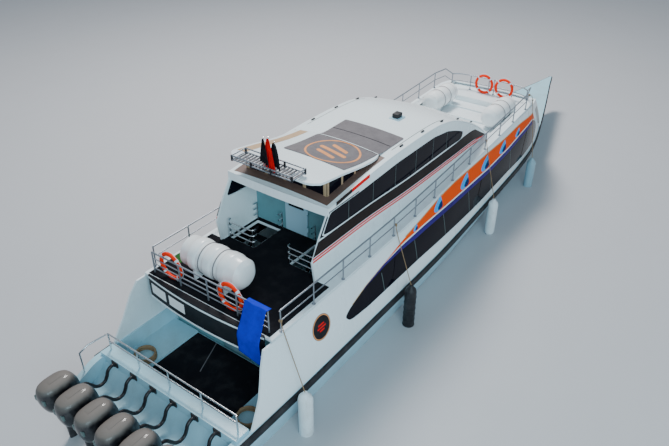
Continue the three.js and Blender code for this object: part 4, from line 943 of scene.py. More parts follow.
def coil_path(centre, z, outer, thick, turns, layers, seed):
    """A laid coil: each layer winds in or out, and the next lies on it."""
    wobble = random.Random(seed)
    per = 20
    path = []
    total = turns * layers * per
    phases = [wobble.uniform(0, 6.28) for _ in range(4)]
    for i in range(total + 1):
        layer = min(i // (turns * per), layers - 1)
        share = i / (turns * per) - layer
        inward = share if layer % 2 == 0 else 1 - share
        r = outer - thick / 2 - thick * 1.06 * inward * (turns - 1) - 0.1 * thick * layer
        r *= 1 + 0.012 * math.sin(2 * math.pi * i / per * 2 + phases[layer % 4])
        climb = min(1.0, max(0.0, (share - 0.9) / 0.1)) if layer < layers - 1 else 0.0
        a = 2 * math.pi * i / per + phases[0]
        lift = thick * 0.52 + thick * 1.0 * (layer + climb)
        path.append((centre[0] + r * math.cos(a), centre[1] + r * math.sin(a), z + lift))
    return path


class FERRY_OT_ropes(FerryOperator, bpy.types.Operator):
    """Coiled mooring ropes on the cockpit's side ledges"""
    bl_idname = "ferry.ropes"
    bl_label = "Mooring ropes"

    def build(self, context, gear):
        thick = gear.rope_thick
        for number, word in enumerate(("port", "stbd")):
            low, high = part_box("rope_coil_" + word)
            centre = (low + high) / 2
            outer = min(high.x - low.x, high.y - low.y) / 2
            path = coil_path((centre.x, centre.y), low.z, min(outer, 0.30), thick, 2, 4, number + 3)
            piece = Piece("mooring_rope_" + word)
            smooth = curve_through(path, per=3)
            piece.add(tube(smooth, thick / 2, sides=12, strands=3, lay=0.16), "rope")
            made = piece.make(slot="rope_fibre", replaces=["rope_coil_" + word], sharp=80)
            run = sum((b - a).length for a, b in zip(smooth, smooth[1:]))
            [tuple(p) for p in smooth]


class FERRY_OT_stage(FerryOperator, bpy.types.Operator):
    """Pale floor at the waterline and soft studio light"""
    bl_idname = "ferry.stage"
    bl_label = "Stage"

    def build(self, context, gear):
        world = bpy.data.worlds.new("studio")
        world.use_nodes = True
        back = world.node_tree.nodes["Background"]
        back.inputs["Color"].default_value = (0.72, 0.86, 1.0, 1)
        back.inputs["Strength"].default_value = 0.45
        context.scene.world = world
        ground = panel(oblong(-60, -60, 60, 60), flat_z(0.0), 0.02, step=(40, 40))
        floor = Piece("floor").add(ground, "floor").make(rides=False)
        for name, place, aim, size, power, tone in [
            ("key", (8, 12, 30), (-1, 0, 2), 9, 13000, (1.0, 0.96, 0.94)),
            ("fill", (-22, -20, 14), (-2, 0, 1), 16, 5200, (0.62, 0.88, 1.0)),
        ]:
            data = bpy.data.lights.new(name, "AREA")
            data.size = size
            data.energy = power
            data.color = tone
            lamp = bpy.data.objects.new(name, data)
            lamp.location = place
            lamp.rotation_euler = (Vector(aim) - Vector(place)).to_track_quat("-Z", "Y").to_euler()
            context.scene.collection.objects.link(lamp)


def wall_outline():
    """Edge of a cabin side: raked wing, deck line, raked front and foot."""
    head = [(x, deck_z_at(x) - DECK_THICK - 0.0003) for x in steps(-9.2, RAKE["top_x"], 14)]
    head = [(x, min(z, RAKE["top_z"])) for x, z in head]
    foot = [(x, strake_at(x) + STRAKE_HALF + 0.0005) for x in steps(6.60, -10.45, 24)]
    return WING_EDGE + head + [(6.58, 1.42)] + foot


class FERRY_OT_hull(FerryOperator, bpy.types.Operator):
    """Hull, its rubber strake and the cockpit's mat"""
    bl_idname = "ferry.hull"
    bl_label = "Hull"

    def build(self, context, gear):
        # The hull's skin takes the hull colour: white with painted blue shade.
        skin_of("hull", "hull_gelcoat", "gelcoat_white", sharp=28)
        xs = [STRAKE_AFT_X] + steps(-10.6, 11.3, 60)
        flank = [(x, beam_at(x), strake_at(x)) for x in xs]
        plan = flank + [(x, -y, z) for x, y, z in reversed(flank)]
        section = [(0.0, -1.0), (0.5, -1.0), (0.85, -0.85), (1.0, -0.5), (0.86, -0.18), (0.86, 0.18),
                   (1.0, 0.5), (0.85, 0.85), (0.5, 1.0), (0.0, 1.0)]
        rings = []
        for i, (x, y, z) in enumerate(plan):
            a, b = plan[max(i - 1, 0)], plan[min(i + 1, len(plan) - 1)]
            way = Vector((b[0] - a[0], b[1] - a[1])).normalized()
            out = Vector((-way.y, way.x))
            rings.append([(x + out.x * STRAKE_OUT * o, y + out.y * STRAKE_OUT * o, z + STRAKE_HALF * h)
                          for o, h in section])
        strake = Piece("strake").add(loft(rings), "rubber")
        strake.make(slot="strake_rubber", replaces=["rub_strake"], sharp=50)
        mat = panel(oblong(-10.38, -1.25, -8.72, 1.25), flat_z(0.606), 0.005, step=(0.5, 0.5))
        floor = Piece("cockpit_mat").add(mat, "rubber_mat")
        crease = [(-9.62, 0.24), (-8.73, 0.60), (-8.73, 0.625), (-9.62, 0.265)]
        floor.add(panel(crease, flat_z(0.609), 0.002, step=(1, 1)), "strap")
        floor.make(slot="strake_rubber")


class FERRY_OT_cabin(FerryOperator, bpy.types.Operator):
    """Main cabin: sides, glass, front, screen and bulkhead"""
    bl_idname = "ferry.cabin"
    bl_label = "Main cabin"

    def build(self, context, gear):
        for word, side in (("stbd", -1), ("port", 1)):
            edge = rounded(BAND, 0.12)
            wall = panel(wall_outline(), on_wall(side), WALL, step=SIDE_STEP, holes=[edge])
            Piece("side_" + word).add(wall, "gelcoat").make(
                slot="gelcoat_white", replaces=["cabin_side_" + word], sharp=30)
            pane = Piece("pane_" + word)
            pane.add(panel(inset(edge, 0.004), on_wall(side, -0.004), PANE, step=SIDE_STEP), "glass")
            for k in range(7):
                x = -5.58 + gear.glass_pitch * k
                low = foot_of(BAND, x) + 0.02
                high = top_of(BAND, x) - 0.15
                seam = [(x - 0.010, low), (x + 0.010, low), (x - 0.03, high), (x - 0.05, high)]
                pane.film(seam, on_wall(side, -0.003), "seam", (1, 0.2))
            pane.make(slot="dark_glass", replaces=["cabin_glass_" + word], sharp=30)
        front = panel(oblong(0.01, -1, 0.985, 1), on_front(), 0.07, step=(0.12, 0.12),
                      holes=[rounded(oblong(0.14, -0.88, 0.62, 0.88), 0.05)])
        Piece("front").add(front, "gelcoat").make(slot="gelcoat_white", replaces=["cabin_front"], sharp=35)
        screen = rounded(oblong(0.143, -0.877, 0.617, 0.877), 0.05)
        glass = Piece("screen").add(panel(screen, on_front(-0.012), 0.012, step=(0.12, 0.12)), "glass")
        for v in (-0.3, 0.3):
            bar = oblong(0.145, v - 0.02, 0.615, v + 0.02)
            glass.add(panel(bar, on_front(-0.006), 0.008, step=FINE_STEP), "gelcoat")
        glass.make(slot="dark_glass", replaces=["windscreen"])
        # The main cabin's bulkhead is teal: painted shade on white.
        skin_of("cabin_bulkhead", "interior", "gelcoat_white", sharp=30)


def crossing(loop, x):
    """Points where an upright line meets a loop."""
    found = []
    for (x0, z0), (x1, z1) in zip(loop, loop[1:] + loop[:1]):
        if (x0 > x) != (x1 > x):
            found.append((x, z0 + (z1 - z0) * (x - x0) / (x1 - x0)))
    return found


def top_of(loop, x):
    """Height of a loop's upper edge."""
    return max(z for _, z in crossing(loop, x))


def foot_of(loop, x):
    """Height of a loop's lower edge."""
    return min(z for _, z in crossing(loop, x))


# Upper edge of the orange stripe on the main cabin's side.
STRIPE_TOP = [
    {"x": -5.67, "z": 2.16}, {"x": -5.12, "z": 2.24}, {"x": -4.62, "z": 2.33}, {"x": -3.79, "z": 2.42},
    {"x": -2.44, "z": 2.58}, {"x": -1.56, "z": 2.635}, {"x": -0.44, "z": 2.645}, {"x": 0.42, "z": 2.65},
    {"x": 1.91, "z": 2.635}, {"x": 3.19, "z": 2.68}, {"x": 4.52, "z": 2.60},
]
# Place and height of the wave shapes, and the tail at each one's tip in shares of its height.
DROPS = [(-3.92, 0.15), (-2.68, 0.34), (-1.07, 0.38), (0.34, 0.40), (1.68, 0.36), (2.92, 0.26)]
DROP_TAIL = [(-0.03, -0.05), (0.08, -0.03), (0.30, 0.07), (0.06, 0.03)]


def flame(x, base, tall, share=1.0):
    """A drop that leans forward to its tip."""
    shape = []
    for k in range(20):
        a = 2 * math.pi * k / 20
        swell = 0.5 + 0.5 * math.sin(a)
        shape.append((x + share * tall * (0.95 * math.cos(a) * (1 - 0.72 * swell) + 0.62 * swell * swell),
                      base + share * tall * swell))
    return shape


class FERRY_OT_stripes(FerryOperator, bpy.types.Operator):
    """Painted stripes, lines and plain emblems of both cabin sides, and painted shade round the windows' fore
    end
    """
    bl_idname = "ferry.stripes"
    bl_label = "Stripes"

    def build(self, context, gear):
        stripe_top = along(STRIPE_TOP, "z")

        def stripe_foot(x):
            return top_of(BAND, x) + gear.stripe_gap * min(max(x + 5.6, 0.2), 1.0)

        for word, side in (("stbd", -1), ("port", 1)):
            place, over, inner = [on_wall(side, k * FOLLOW) for k in (1, 2, 3)]
            paint = Piece("stripe_" + word)
            foot = [(x, stripe_foot(x)) for x in steps(-5.40, 4.76, 44)]
            head = [(x, max(stripe_top(x), stripe_foot(x) + 0.012)) for x in steps(-5.40, 4.50, 40)]
            paint.film(foot + head[::-1], place, "stripe")
            paint.film(strip([(x, z) for x, z in head if x > -4.6], 0.028), place, "gold")
            line = [(x, top_of(BAND, x) - 0.012) for x in steps(-6.4, 4.55, 44)]
            low = [(x, z - 0.13 * min(max((x + 6.4) / 2.5, 0.1), 1.0)) for x, z in line]
            paint.film(line + low[::-1], on_wall(side, -0.0015), "violet")
            tail = [(x, top_of(BAND, x) + 0.004) for x in steps(-6.9, -5.4, 8)]
            paint.film(strip(tail, 0.016), place, "gold")
            for x, tall in DROPS:
                base = stripe_foot(x) + 0.02
                paint.film(flame(x, base, tall), over, "azure", FINE_STEP)
                heart = flame(x + 0.36 * tall, base + 0.02 * tall, tall, 0.58)
                paint.film(heart, inner, "navy", FINE_STEP)
                tip = (x + 0.62 * tall, base + tall)
                tail = [(tip[0] + u * tall, tip[1] + w * tall) for u, w in DROP_TAIL]
                paint.film(tail, inner, "gold", FINE_STEP)
            disc = oval(EMBLEM["x"], EMBLEM["z"], EMBLEM["wide"], EMBLEM["tall"], 32)
            paint.film(disc, place, "banner", FINE_STEP)
            paint.film(inset(disc, 0.008), over, "peach", FINE_STEP, [inset(disc, 0.035)])
            for z, half in ((2.07, 0.10), (2.00, 0.14), (1.93, 0.08)):
                bar = oblong(EMBLEM["x"] - half, z - 0.018, EMBLEM["x"] + half, z + 0.018)
                paint.film(bar, over, "red_line", FINE_STEP)
            wedge = [(4.84, 2.58), (5.22, 2.60), (6.38, 1.48), (5.66, 1.76)]
            paint.film(wedge, place, "wedge", (0.3, 0.3))
            edge = [(4.84, 2.58), (5.66, 1.76), (5.60, 1.72), (4.78, 2.56)]
            paint.film(edge, place, "pale", (0.3, 0.3))
            # Painted shade: a pale blue band on the white wall round the windows' fore end and along their
            # foot.
            rim = [(4.80, 2.25), (5.22, 1.99), (5.36, 1.72), (5.22, 1.47), (4.85, 1.31), (3.70, 1.295),
                   (2.40, 1.325)]
            band = [(4.86, 2.30), (5.29, 2.03), (5.44, 1.72), (5.28, 1.42), (4.87, 1.245), (3.70, 1.25),
                    (2.40, 1.31)]
            paint.film(rim + band[::-1], place, "pale")
            paint.make(slot="gelcoat_white", sharp=30)


# Painted lines of the upper cabin: height of the dark band's top and foot, and of the upper red line.
UPPER_LINES = [
    {"x": -7.50, "top": 3.605, "low": 3.290, "red": 3.255},
    {"x": -6.90, "top": 3.605, "low": 3.285, "red": 3.250},
    {"x": -5.40, "top": 3.575, "low": 3.270, "red": 3.235},
    {"x": -3.60, "top": 3.485, "low": 3.170, "red": 3.135},
    {"x": -1.20, "top": 3.445, "low": 3.110, "red": 3.075},
    {"x": 0.40, "top": 3.400, "low": 3.060, "red": 3.030},
    {"x": 1.25, "top": 2.930, "low": 2.925, "red": 2.915},
]
# Corners of the sign along the roof's starboard edge: y, and height over the shoulder.
SIGN_EDGE = [(-1.492, -0.055), (-1.480, -0.055), (-1.480, 0.03), (-1.492, 0.03)]


class FERRY_OT_upper_cabin(FerryOperator, bpy.types.Operator):
    """Upper cabin: sides with their dark bands, panes, roof, front, bulkhead and door"""
    bl_idname = "ferry.upper_cabin"
    bl_label = "Upper cabin"

    def build(self, context, gear):
        top_at, low_at, red_at = [along(UPPER_LINES, column) for column in ("top", "low", "red")]
        window = rounded(VIP_BAND, 0.10)
        for word, side in (("stbd", -1), ("port", 1)):
            head = [(x, vip_shoulder_at(x) - 0.046) for x in steps(-6.93, 1.29, 34)]
            foot = [(x, deck_z_at(x) + 0.001) for x in steps(1.30, -7.48, 30)]
            wall = panel(VIP_SIDE[1:] + head + foot, on_vip(side), VIP_WALL, step=SIDE_STEP, holes=[window])
            Piece("upper_side_" + word).add(wall, "gelcoat").make(
                slot="gelcoat_white", replaces=["vip_side_" + word], sharp=30)
            pane = Piece("upper_pane_" + word)
            pane.add(panel(inset(window, 0.003), on_vip(side, -0.004), PANE, step=SIDE_STEP), "glass")
            for x in (-6.2, -5.2, -4.2, -3.2, -2.3, -1.5):
                seam = oblong(x - 0.006, foot_of(VIP_BAND, x) + 0.015, x + 0.006, top_of(VIP_BAND, x) - 0.015)
                pane.film(seam, on_vip(side, -0.003), "seam", (1, 0.2))
            pane.make(slot="dark_glass", replaces=["vip_glass_" + word], sharp=30)
            paint = Piece("upper_band_" + word)
            place = on_vip(side, FOLLOW)
            xs = steps(-7.30, 0.40, 30)
            band = [(x, top_at(x)) for x in xs] + [(1.22, 2.945), (1.22, 2.92)]
            band += [(x, low_at(x)) for x in reversed(xs)] + [(-7.52, 3.29), (-7.335, 3.605)]
            paint.film(band, place, "dark_band", SIDE_STEP)
            for drop in (-0.012, 0.060):
                line = [(x, red_at(x) - drop) for x in [-7.53] + steps(-7.30, 1.15, 30)]
                paint.film(strip(line, -0.044), place, "red_line", SIDE_STEP)
            wing = [(-7.293, 3.66), (-6.975, 4.16), (-5.8, 4.165), (-5.8, 4.135), (-6.90, 4.135),
                    (-7.00, 4.02), (-7.20, 3.70), (-7.10, 3.64)]
            paint.film(wing, place, "banner", SIDE_STEP)
            paint.make(slot="gelcoat_white", sharp=30)

        roof_edge = [(x, vip_half_at(x) + ROOF_OUT) for x in steps(ROOF_AFT_X + ROOF_BOW, 1.30, 40)]
        bow = [(ROOF_AFT_X + ROOF_BOW * v * v, v * roof_edge[0][1]) for v in steps(-1, 1, 10)[1:-1]]
        outline = roof_edge + [(x, -y) for x, y in reversed(roof_edge)] + bow
        light = rounded(FRONT_LIGHT, 0.08)
        shell = panel(outline, on_roof(), ROOF_THICK, step=(0.22, 0.3), holes=[light])
        roof = Piece("roof").add(shell, "gelcoat")
        roof.make(slot="gelcoat_white", replaces=["vip_roof"], sharp=35, bevel=0.012)
        pane = Piece("roof_light")
        pane.add(panel(inset(light, 0.003), on_roof(-0.008), 0.012, step=(0.2, 0.3)), "glass")
        pane.make(slot="dark_glass", replaces=["vip_windscreen"])
        build_roof_trim()
        # The upper cabin's bulkhead is teal: painted shade on white.
        skin_of("vip_bulkhead", "interior", "gelcoat_white")
        skin_of("vip_door", "pale", "gelcoat_white", body="vip_door")
        light = panel(oblong(-0.14, 3.35, 0.33, 3.95), lambda y, z, d: (-6.185 - d, y, z), 0.006, step=(1, 1))
        Piece("door_light").add(light, "banner").make(body="vip_door", slot="dark_glass")
        box = Piece("porch_box").add(slab((-6.26, 0.74, 3.55), (-6.152, 0.94, 3.95), 0.015), "red_line")
        box.add(slab((-6.275, 0.77, 3.60), (-6.26, 0.91, 3.90), 0.006), "banner").make(slot="banner_board")


def build_roof_trim():
    """Shelf, aft lip, blank sign, feet, seams and a small box on the upper cabin's roof."""
    trim = Piece("roof_trim")
    # The shelf's brown is partly its timber colour, partly painted shade from the canopy.
    trim.film(oblong(-6.90, -1.36, -4.6, 1.36), on_roof(FOLLOW), "shelf", (0.25, 0.3))
    rows = []
    for y in steps(-1.47, 1.47, 24):
        x = ROOF_AFT_X - 0.004 + ROOF_BOW * (y / 1.475) ** 2
        z = on_roof()(-7.06, y, 0)[2]
        rows.append([(x - 0.035, y, z + 0.03), (x, y, z + 0.03), (x, y, z - 0.16), (x - 0.035, y, z - 0.18)])
    trim.add(loft(rows), "gelcoat")
    for x0, x1, finish in ((-6.72, -6.14, "dark_band"), (-6.12, -5.44, "red_line")):
        sign = []
        for x in steps(x0, x1, 4):
            z = vip_shoulder_at(x)
            sign.append([(x, y, z + rise) for y, rise in SIGN_EDGE])
        trim.add(loft(sign), finish)
    for x in (-3.86, -2.82, -1.79, -0.82, 0.12):
        for side in (-1, 1):
            _, y, z = on_roof()(x, side * 1.36, 0)
            trim.add(slab((x - 0.07, y - 0.02, z - 0.01), (x + 0.07, y + 0.02, z + 0.03), 0.012), "rubber")
    for side in (-1, 1):
        trim.film(oblong(-4.2, side * 1.30, -1.5, side * 1.285), on_roof(FOLLOW), "seam", (0.3, 0.3))
    trim.add(slab((-2.76, -0.60, 4.53), (-2.40, -0.30, 4.585), 0.015), "pale")
    trim.add(slab((-2.70, -0.54, 4.585), (-2.46, -0.36, 4.70), 0.02), "rubber")
    trim.make(slot="gelcoat_white", sharp=35)


class FERRY_OT_canopy(FerryOperator, bpy.types.Operator):
    """Canopy with its mat, ring, strip, rack and clerestory"""
    bl_idname = "ferry.canopy"
    bl_label = "Canopy"

    def build(self, context, gear):
        edge = [(x, canopy_half_at(x)) for x in [-7.18, -7.155] + steps(-7.13, -4.65, 20)]
        outline = rounded(edge + [(x, -y) for x, y in reversed(edge)], 0.05, 4)
        shape = panel(outline, on_canopy(), CANOPY_THICK, step=(0.25, 0.25))
        shell = Piece("canopy_shell").add(shape, "gelcoat")
        shell.make(slot="gelcoat_white", replaces=["canopy"], sharp=40, bevel=0.018)

        def over(x, y, depth):
            """On the canopy, and past its fore edge down on the roof."""
            share = min(max((x + 4.75) / 0.35, 0.0), 1.0)
            high = on_canopy()(min(x, -4.66), y, 0)[2]
            return (x, y, high * (1 - share) + on_roof()(x, y, 0)[2] * share + 0.014 - depth)

        def proud(x, y, depth):
            return over(x, y, depth - 0.003)

        mat = Piece("roof_mat")
        mat_edge = [(-6.05, -1.20), (-3.50, -1.22), (-3.50, 0.56), (-6.05, 0.54)]
        mat.add(panel(rounded(mat_edge, 0.04), over, 0.010, step=(0.15, 0.2)), "mat_grey")
        cx, cy, r = MAT_RING["x"], MAT_RING["y"], MAT_RING["r"]
        wheel = oval(cx, cy, r, r, 48)
        mat.add(panel(wheel, proud, 0.003, step=FINE_STEP, holes=[inset(wheel, 0.05)]), "peach")
        for k, long in enumerate((0.30, 0.42, 0.26)):
            x, y = cx - 0.24 + 0.24 * k, cy + 0.04 * (1 - k)
            bar = [(x - 0.14, y - long), (x - 0.02, y - long), (x + 0.14, y + long), (x + 0.02, y + long)]
            mat.add(panel(rounded(bar, 0.06), proud, 0.003, step=FINE_STEP), "peach")
        for x in (-4.70, -4.10):
            mat.add(panel(oblong(x, -1.19, x + 0.02, 0.53), proud, 0.003, step=FINE_STEP), "banner")
        mat.make(slot="gelcoat_white")
        lane = [(-6.85, 0.98), (-4.70, 0.86), (-4.70, 1.12), (-6.85, 1.24)]
        Piece("canopy_strip").film(lane, on_canopy(FOLLOW), "tan").make(slot="gelcoat_white")
        skin_of("clerestory", "glass", "dark_glass")
        pillars = Piece("clerestory_pillars")

        def pillar(x, y, x0, x1, y0, y1):
            """From the roof up to the canopy, at the heights over x and y."""
            low = on_roof()(x, y, 0)[2] + 0.002
            high = on_canopy()(x, y, CANOPY_THICK)[2] - 0.002
            pillars.add(slab((x0, y0, low), (x1, y1, high), 0.003), "tan")

        for side in (-1, 1):
            near, far = sorted((side * 1.183, side * 1.183 + side * 0.012))
            for x in (-6.62, -6.10, -5.60, -5.15):
                pillar(x, side * 1.183, x - 0.03, x + 0.03, near, far)
        for y in (-1.13, -0.56, 0.0, 0.56, 1.13):
            pillar(-6.66, y, -6.668, -6.652, y - 0.04, y + 0.04)
        pillars.make(slot="gelcoat_white")
        build_rack()
        build_flags()


def build_rack():
    """Low rail frame over a slatted floor, on the canopy's aft end."""
    rack = Piece("roof_rack")
    aft, fore, half, floor, top = (RACK[key] for key in ("aft", "fore", "half", "floor", "top"))
    loop = oblong(aft, -half, fore, half)
    for z in (floor + 0.035, top):
        for (x0, y0), (x1, y1) in zip(loop, loop[1:] + loop[:1]):
            rack.add(mitred([(x0, y0, z), (x1, y1, z)], 0.016, 10), "rail_steel")
    for x in (aft, fore):
        for y in steps(-half, half, 3):
            post = slab((x - 0.02, y - 0.02, floor), (x + 0.02, y + 0.02, top + 0.012), 0.004)
            rack.add(post, "rubber")
    for y in steps(-half + 0.05, half - 0.05, 17):
        slat = slab((aft, y - 0.022, floor + 0.008), (fore, y + 0.022, floor + 0.028), 0.004)
        rack.add(slat, "mat_grey")
    for y in (-0.6, 0.6):
        rack.add(slab((-7.12, y - 0.03, 4.84), (-7.04, y + 0.03, floor + 0.01), 0.006), "gelcoat")
    rack.make(slot="gelcoat_white", replaces=["canopy"], sharp=40)


def furled(name, foot, top, spread, finish, seed):
    """A flag gathered down its staff: pleats that widen towards the foot."""
    draw = random.Random(seed)
    phase = draw.uniform(0, 6.28)
    tall = top - foot[2]
    rows = []
    across, down = 48, 24
    for j in range(down + 1):
        t = j / down
        z = top - tall * t
        wide = spread * (0.18 + 0.82 * t ** 0.8)
        row = []
        for i in range(across + 1):
            s = i / across
            fold = math.sin(s * 5 * 2 * math.pi + phase) * (0.25 + 0.2 * math.sin(3 * t + phase))
            row.append((foot[0] + wide * (0.35 * fold + 0.25 * (s - 0.5)), foot[1] + wide * (s - 0.5) * 0.8,
                        z - 0.06 * abs(s - 0.5) * t))
        rows.append(row)
    points, faces = cloth_mesh(rows)
    return Piece(name).add((points, faces), finish), points, faces


def cloth_mesh(rows):
    """Points and four-sided faces of an open sheet given by its rows."""
    points = [p for row in rows for p in row]
    wide = len(rows[0])
    faces = []
    for j in range(len(rows) - 1):
        for i in range(wide - 1):
            a = j * wide + i
            faces.append((a, a + 1, a + wide + 1, a + wide))
    return points, faces


def sheet_area(points, faces):
    total = 0.0
    for f in faces:
        a, b, c, d = [Vector(points[i]) for i in f]
        total += (b - a).cross(c - a).length / 2 + (c - a).cross(d - a).length / 2
    return total


def build_flags():
    """Three furled flags on staffs at the rack: the red one in front of two black ones."""
    staff = Piece("flag_staffs")
    flags = [("flag_port", 0.08, "flag_black", 5.56, 0.46), ("flag_middle", -0.06, "flag_red", 5.60, 0.62),
             ("flag_stbd", -0.22, "flag_black", 5.54, 0.52)]
    for number, (name, y, finish, top, spread) in enumerate(flags):
        foot = RACK["floor"] + (0.02 if finish == "flag_red" else 0.10)
        staff.add(mitred([(STAFF_X, y, RACK["floor"] + 0.005), (STAFF_X, y, top + 0.02)], 0.010, 10), "steel")
        staff.add(turned([(top + 0.02, 0.0), (top + 0.025, 0.014), (top + 0.04, 0.014), (top + 0.045, 0.0)],
                         (STAFF_X, y, 0), "z", 12), "steel")
        piece, points, faces = furled(name, (STAFF_X - 0.02, y, foot), top, spread, finish, number + 11)
        made = piece.make(slot="banner_board", sharp=80)
        tall = top - foot
        round(sheet_area(points, faces) / tall, 3)
    staff.make(slot="gelcoat_white", replaces=["canopy"])


class FERRY_OT_deck(FerryOperator, bpy.types.Operator):
    """Upper deck, its carpet and patch, fascia and stairs"""
    bl_idname = "ferry.deck"
    bl_label = "Upper deck"

    def build(self, context, gear):
        aft, fore, half, z, wall = (FOREDECK[key] for key in ("aft", "fore", "half", "z", "wall"))
        out = half + wall
        edge = [(x, deck_half_at(x)) for x in steps(DECK_AFT_X, 4.2, 40)]
        edge += [(x, deck_half_at(x) * share) for x, share in DECK_FRONT]
        outline = edge + [(4.60, half), (aft, half), (aft, -half), (4.60, -half)]
        outline += [(x, -y) for x, y in reversed(edge)]
        shape = panel(outline, on_deck(), DECK_THICK, step=(0.35, 0.35), holes=hatches())
        deck = Piece("deck").add(shape, "deck_grip")
        deck.make(slot="gelcoat_white", replaces=["upper_deck"], sharp=40, bevel=0.012)
        tray = Piece("foredeck")
        tray.add(panel(oblong(aft, -half, fore, half), flat_z(z), 0.05, step=(0.5, 0.5)), "deck_grip")
        for side in (-1, 1):
            top = [(x, deck_z_at(x) - 0.012) for x in steps(4.58, aft - wall, 10)]
            face = [(aft - wall, z - 0.05), (4.06, z - 0.05), (4.06, 2.75), (4.58, 2.75)] + top
            board = panel(face, lambda x, h, d, side=side: (x, side * (out - d), h), wall, step=(0.5, 0.3))
            tray.add(board, "gelcoat")
        for x, low, high in ((aft - wall, z - 0.05, deck_z_at(aft) - 0.012), (fore - 0.02, z, 2.80)):
            tray.add(slab((x, -half, low), (x + wall, half, high), 0.004), "gelcoat")
        nose = [(FOREDECK["nose_x"] + 0.105 * (1 - v * v), v * out) for v in steps(-1, 1, 16)]
        nose_edge = [(fore, out), (fore, -out)] + nose
        tray.add(panel(nose_edge, flat_z(FOREDECK["step_z"]), DECK_THICK, step=(0.4, 0.4)), "deck_grip")
        tray.make(slot="gelcoat_white", replaces=["upper_deck"], sharp=40)
        mat = [(-9.40, -1.80), (-7.42, -1.80), (-7.42, -1.38), (-6.16, -1.38), (-6.16, 1.38), (-7.42, 1.38),
               (-7.42, 1.80), (-9.40, 1.80)]
        cover = panel(mat, on_deck(0.008), 0.007, step=(0.4, 0.4), holes=hatches(0.02))
        carpet = Piece("carpet").add(cover, "carpet")
        patch = [(-8.75, 1.50), (-7.70, 1.40), (-7.62, 1.80), (-8.65, 1.82)]
        carpet.add(panel(patch, on_deck(0.014), 0.006, step=(0.3, 0.3)), "green_patch")
        carpet.make(slot="banner_board", sharp=40)
        build_fascia()
        for word, side in (("port", 1), ("stbd", -1)):
            build_stair(word, side)


def hatches(grown=0.0):
    """Edges of the two openings over the stairs, wider all round by a little."""
    aft, fore = HATCH["aft"] - grown, HATCH["fore"] + grown
    near, far = HATCH["near"] - grown, HATCH["far"] + grown
    return [oblong(aft, s * near, fore, s * far) for s in (-1, 1)]


def fascia_x(v):
    """The fascia's bowed face, by width share."""
    return FASCIA["x"] - FASCIA["bow"] * (1 - v * v)


def build_fascia():
    """Dark board below the deck's aft edge, its two pale edges and two blank pale blocks."""
    half, back, foot, head = (FASCIA[key] for key in ("half", "back", "foot", "head"))
    rows = []
    for v in steps(-1, 1, 32):
        x, y = fascia_x(v), v * half
        rows.append([(x, y, foot), (x, y, head), (back, y, head), (back, y, 2.57), (x + 0.03, y, 2.56),
                     (x + 0.03, y, foot)])
    Piece("fascia").add(loft(rows), "banner").make(slot="banner_board", replaces=["aft_fascia"], sharp=30)
    trim = Piece("fascia_trim")
    for z in (2.055, 2.585):
        rail = []
        for v in steps(-1, 1, 24):
            x, y = fascia_x(v), v * half
            rail.append([(x - 0.008, y, z - 0.022), (x - 0.008, y, z + 0.022), (x + 0.002, y, z + 0.022),
                         (x + 0.002, y, z - 0.022)])
        trim.add(loft(rail), "gelcoat")
    for y0, y1 in ((1.10, 1.62), (0.46, 0.98)):
        block = []
        for y in steps(y0, y1, 6):
            x = fascia_x(y / half)
            block.append([(x - 0.006, y, 2.20), (x - 0.006, y, 2.46), (x - 0.002, y, 2.46),
                          (x - 0.002, y, 2.20)])
        trim.add(loft(block), "raft_shell")
    trim.make(slot="gelcoat_white")


def build_stair(word, side):
    """A steep dark flight through its hatch, with three light rails round the opening."""
    flight = Piece("stair_flight_" + word)
    near, far = sorted((side * FLIGHT["near"], side * FLIGHT["far"]))
    foot, head, floor, rise, treads = (FLIGHT[key] for key in ("foot", "head", "floor", "rise", "treads"))
    run = [(foot, 0.481), (foot + 0.16, 0.481), (head + 0.02, 2.52), (head - 0.13, 2.52)]
    for y in (near, far - 0.03):
        flight.add(panel(run, lambda x, z, d, y=y: (x, y + 0.03 - d, z), 0.03, step=(1, 1)), "rubber_mat")
    for i in range(1, treads):
        x = foot + 0.06 + (head - foot - 0.04) * i / treads
        z = floor + rise * i / treads
        flight.add(slab((x - 0.09, near + 0.01, z), (x + 0.13, far - 0.01, z + 0.03), 0.006), "rubber_mat")
    flight.make(slot="stainless", replaces=["stair_" + word], sharp=40)
    rail = Piece("stair_rail_" + word)
    x0, x1 = STAIR_RAIL["aft"], STAIR_RAIL["fore"]
    y0, y1 = sorted((side * STAIR_RAIL["near"], side * STAIR_RAIL["far"]))
    for z in STAIR_BARS:
        corner = rounded([(x0, y0), (x0, y1), (x1, y1), (x1, y0)], 0.12, 5)
        ring = [(x, y, z) for x, y in corner]
        cut = ring[18:] + ring[:18]
        rail.add(tube([p for p in cut if not (p[0] > x1 - 0.13)], RAIL_R * 0.9, 10), "steel")
        for y in (y0, y1):
            rail.add(mitred([(x1 - 0.14, y, z), (x1, y, z)], RAIL_R * 0.9, 10), "steel")
    for x in (x0, x1):
        for y in (y0, y1):
            inward = 0.035 if x == x0 else 0.0
            turn = inward if y == y0 else -inward
            post = [(x + inward, y + turn, z) for z in (2.6, STAIR_BARS[-1])]
            rail.add(mitred(post, RAIL_R * 0.8, 10), "steel")
    rail.make(slot="stainless", replaces=["stair_" + word], sharp=50)


# Foot of a rail post: height and radius.
RAIL_SOCKET = [(0.0, 0.0), (0.0, 0.045), (0.008, 0.045), (0.012, 0.026), (0.03, 0.024), (0.03, 0.0)]


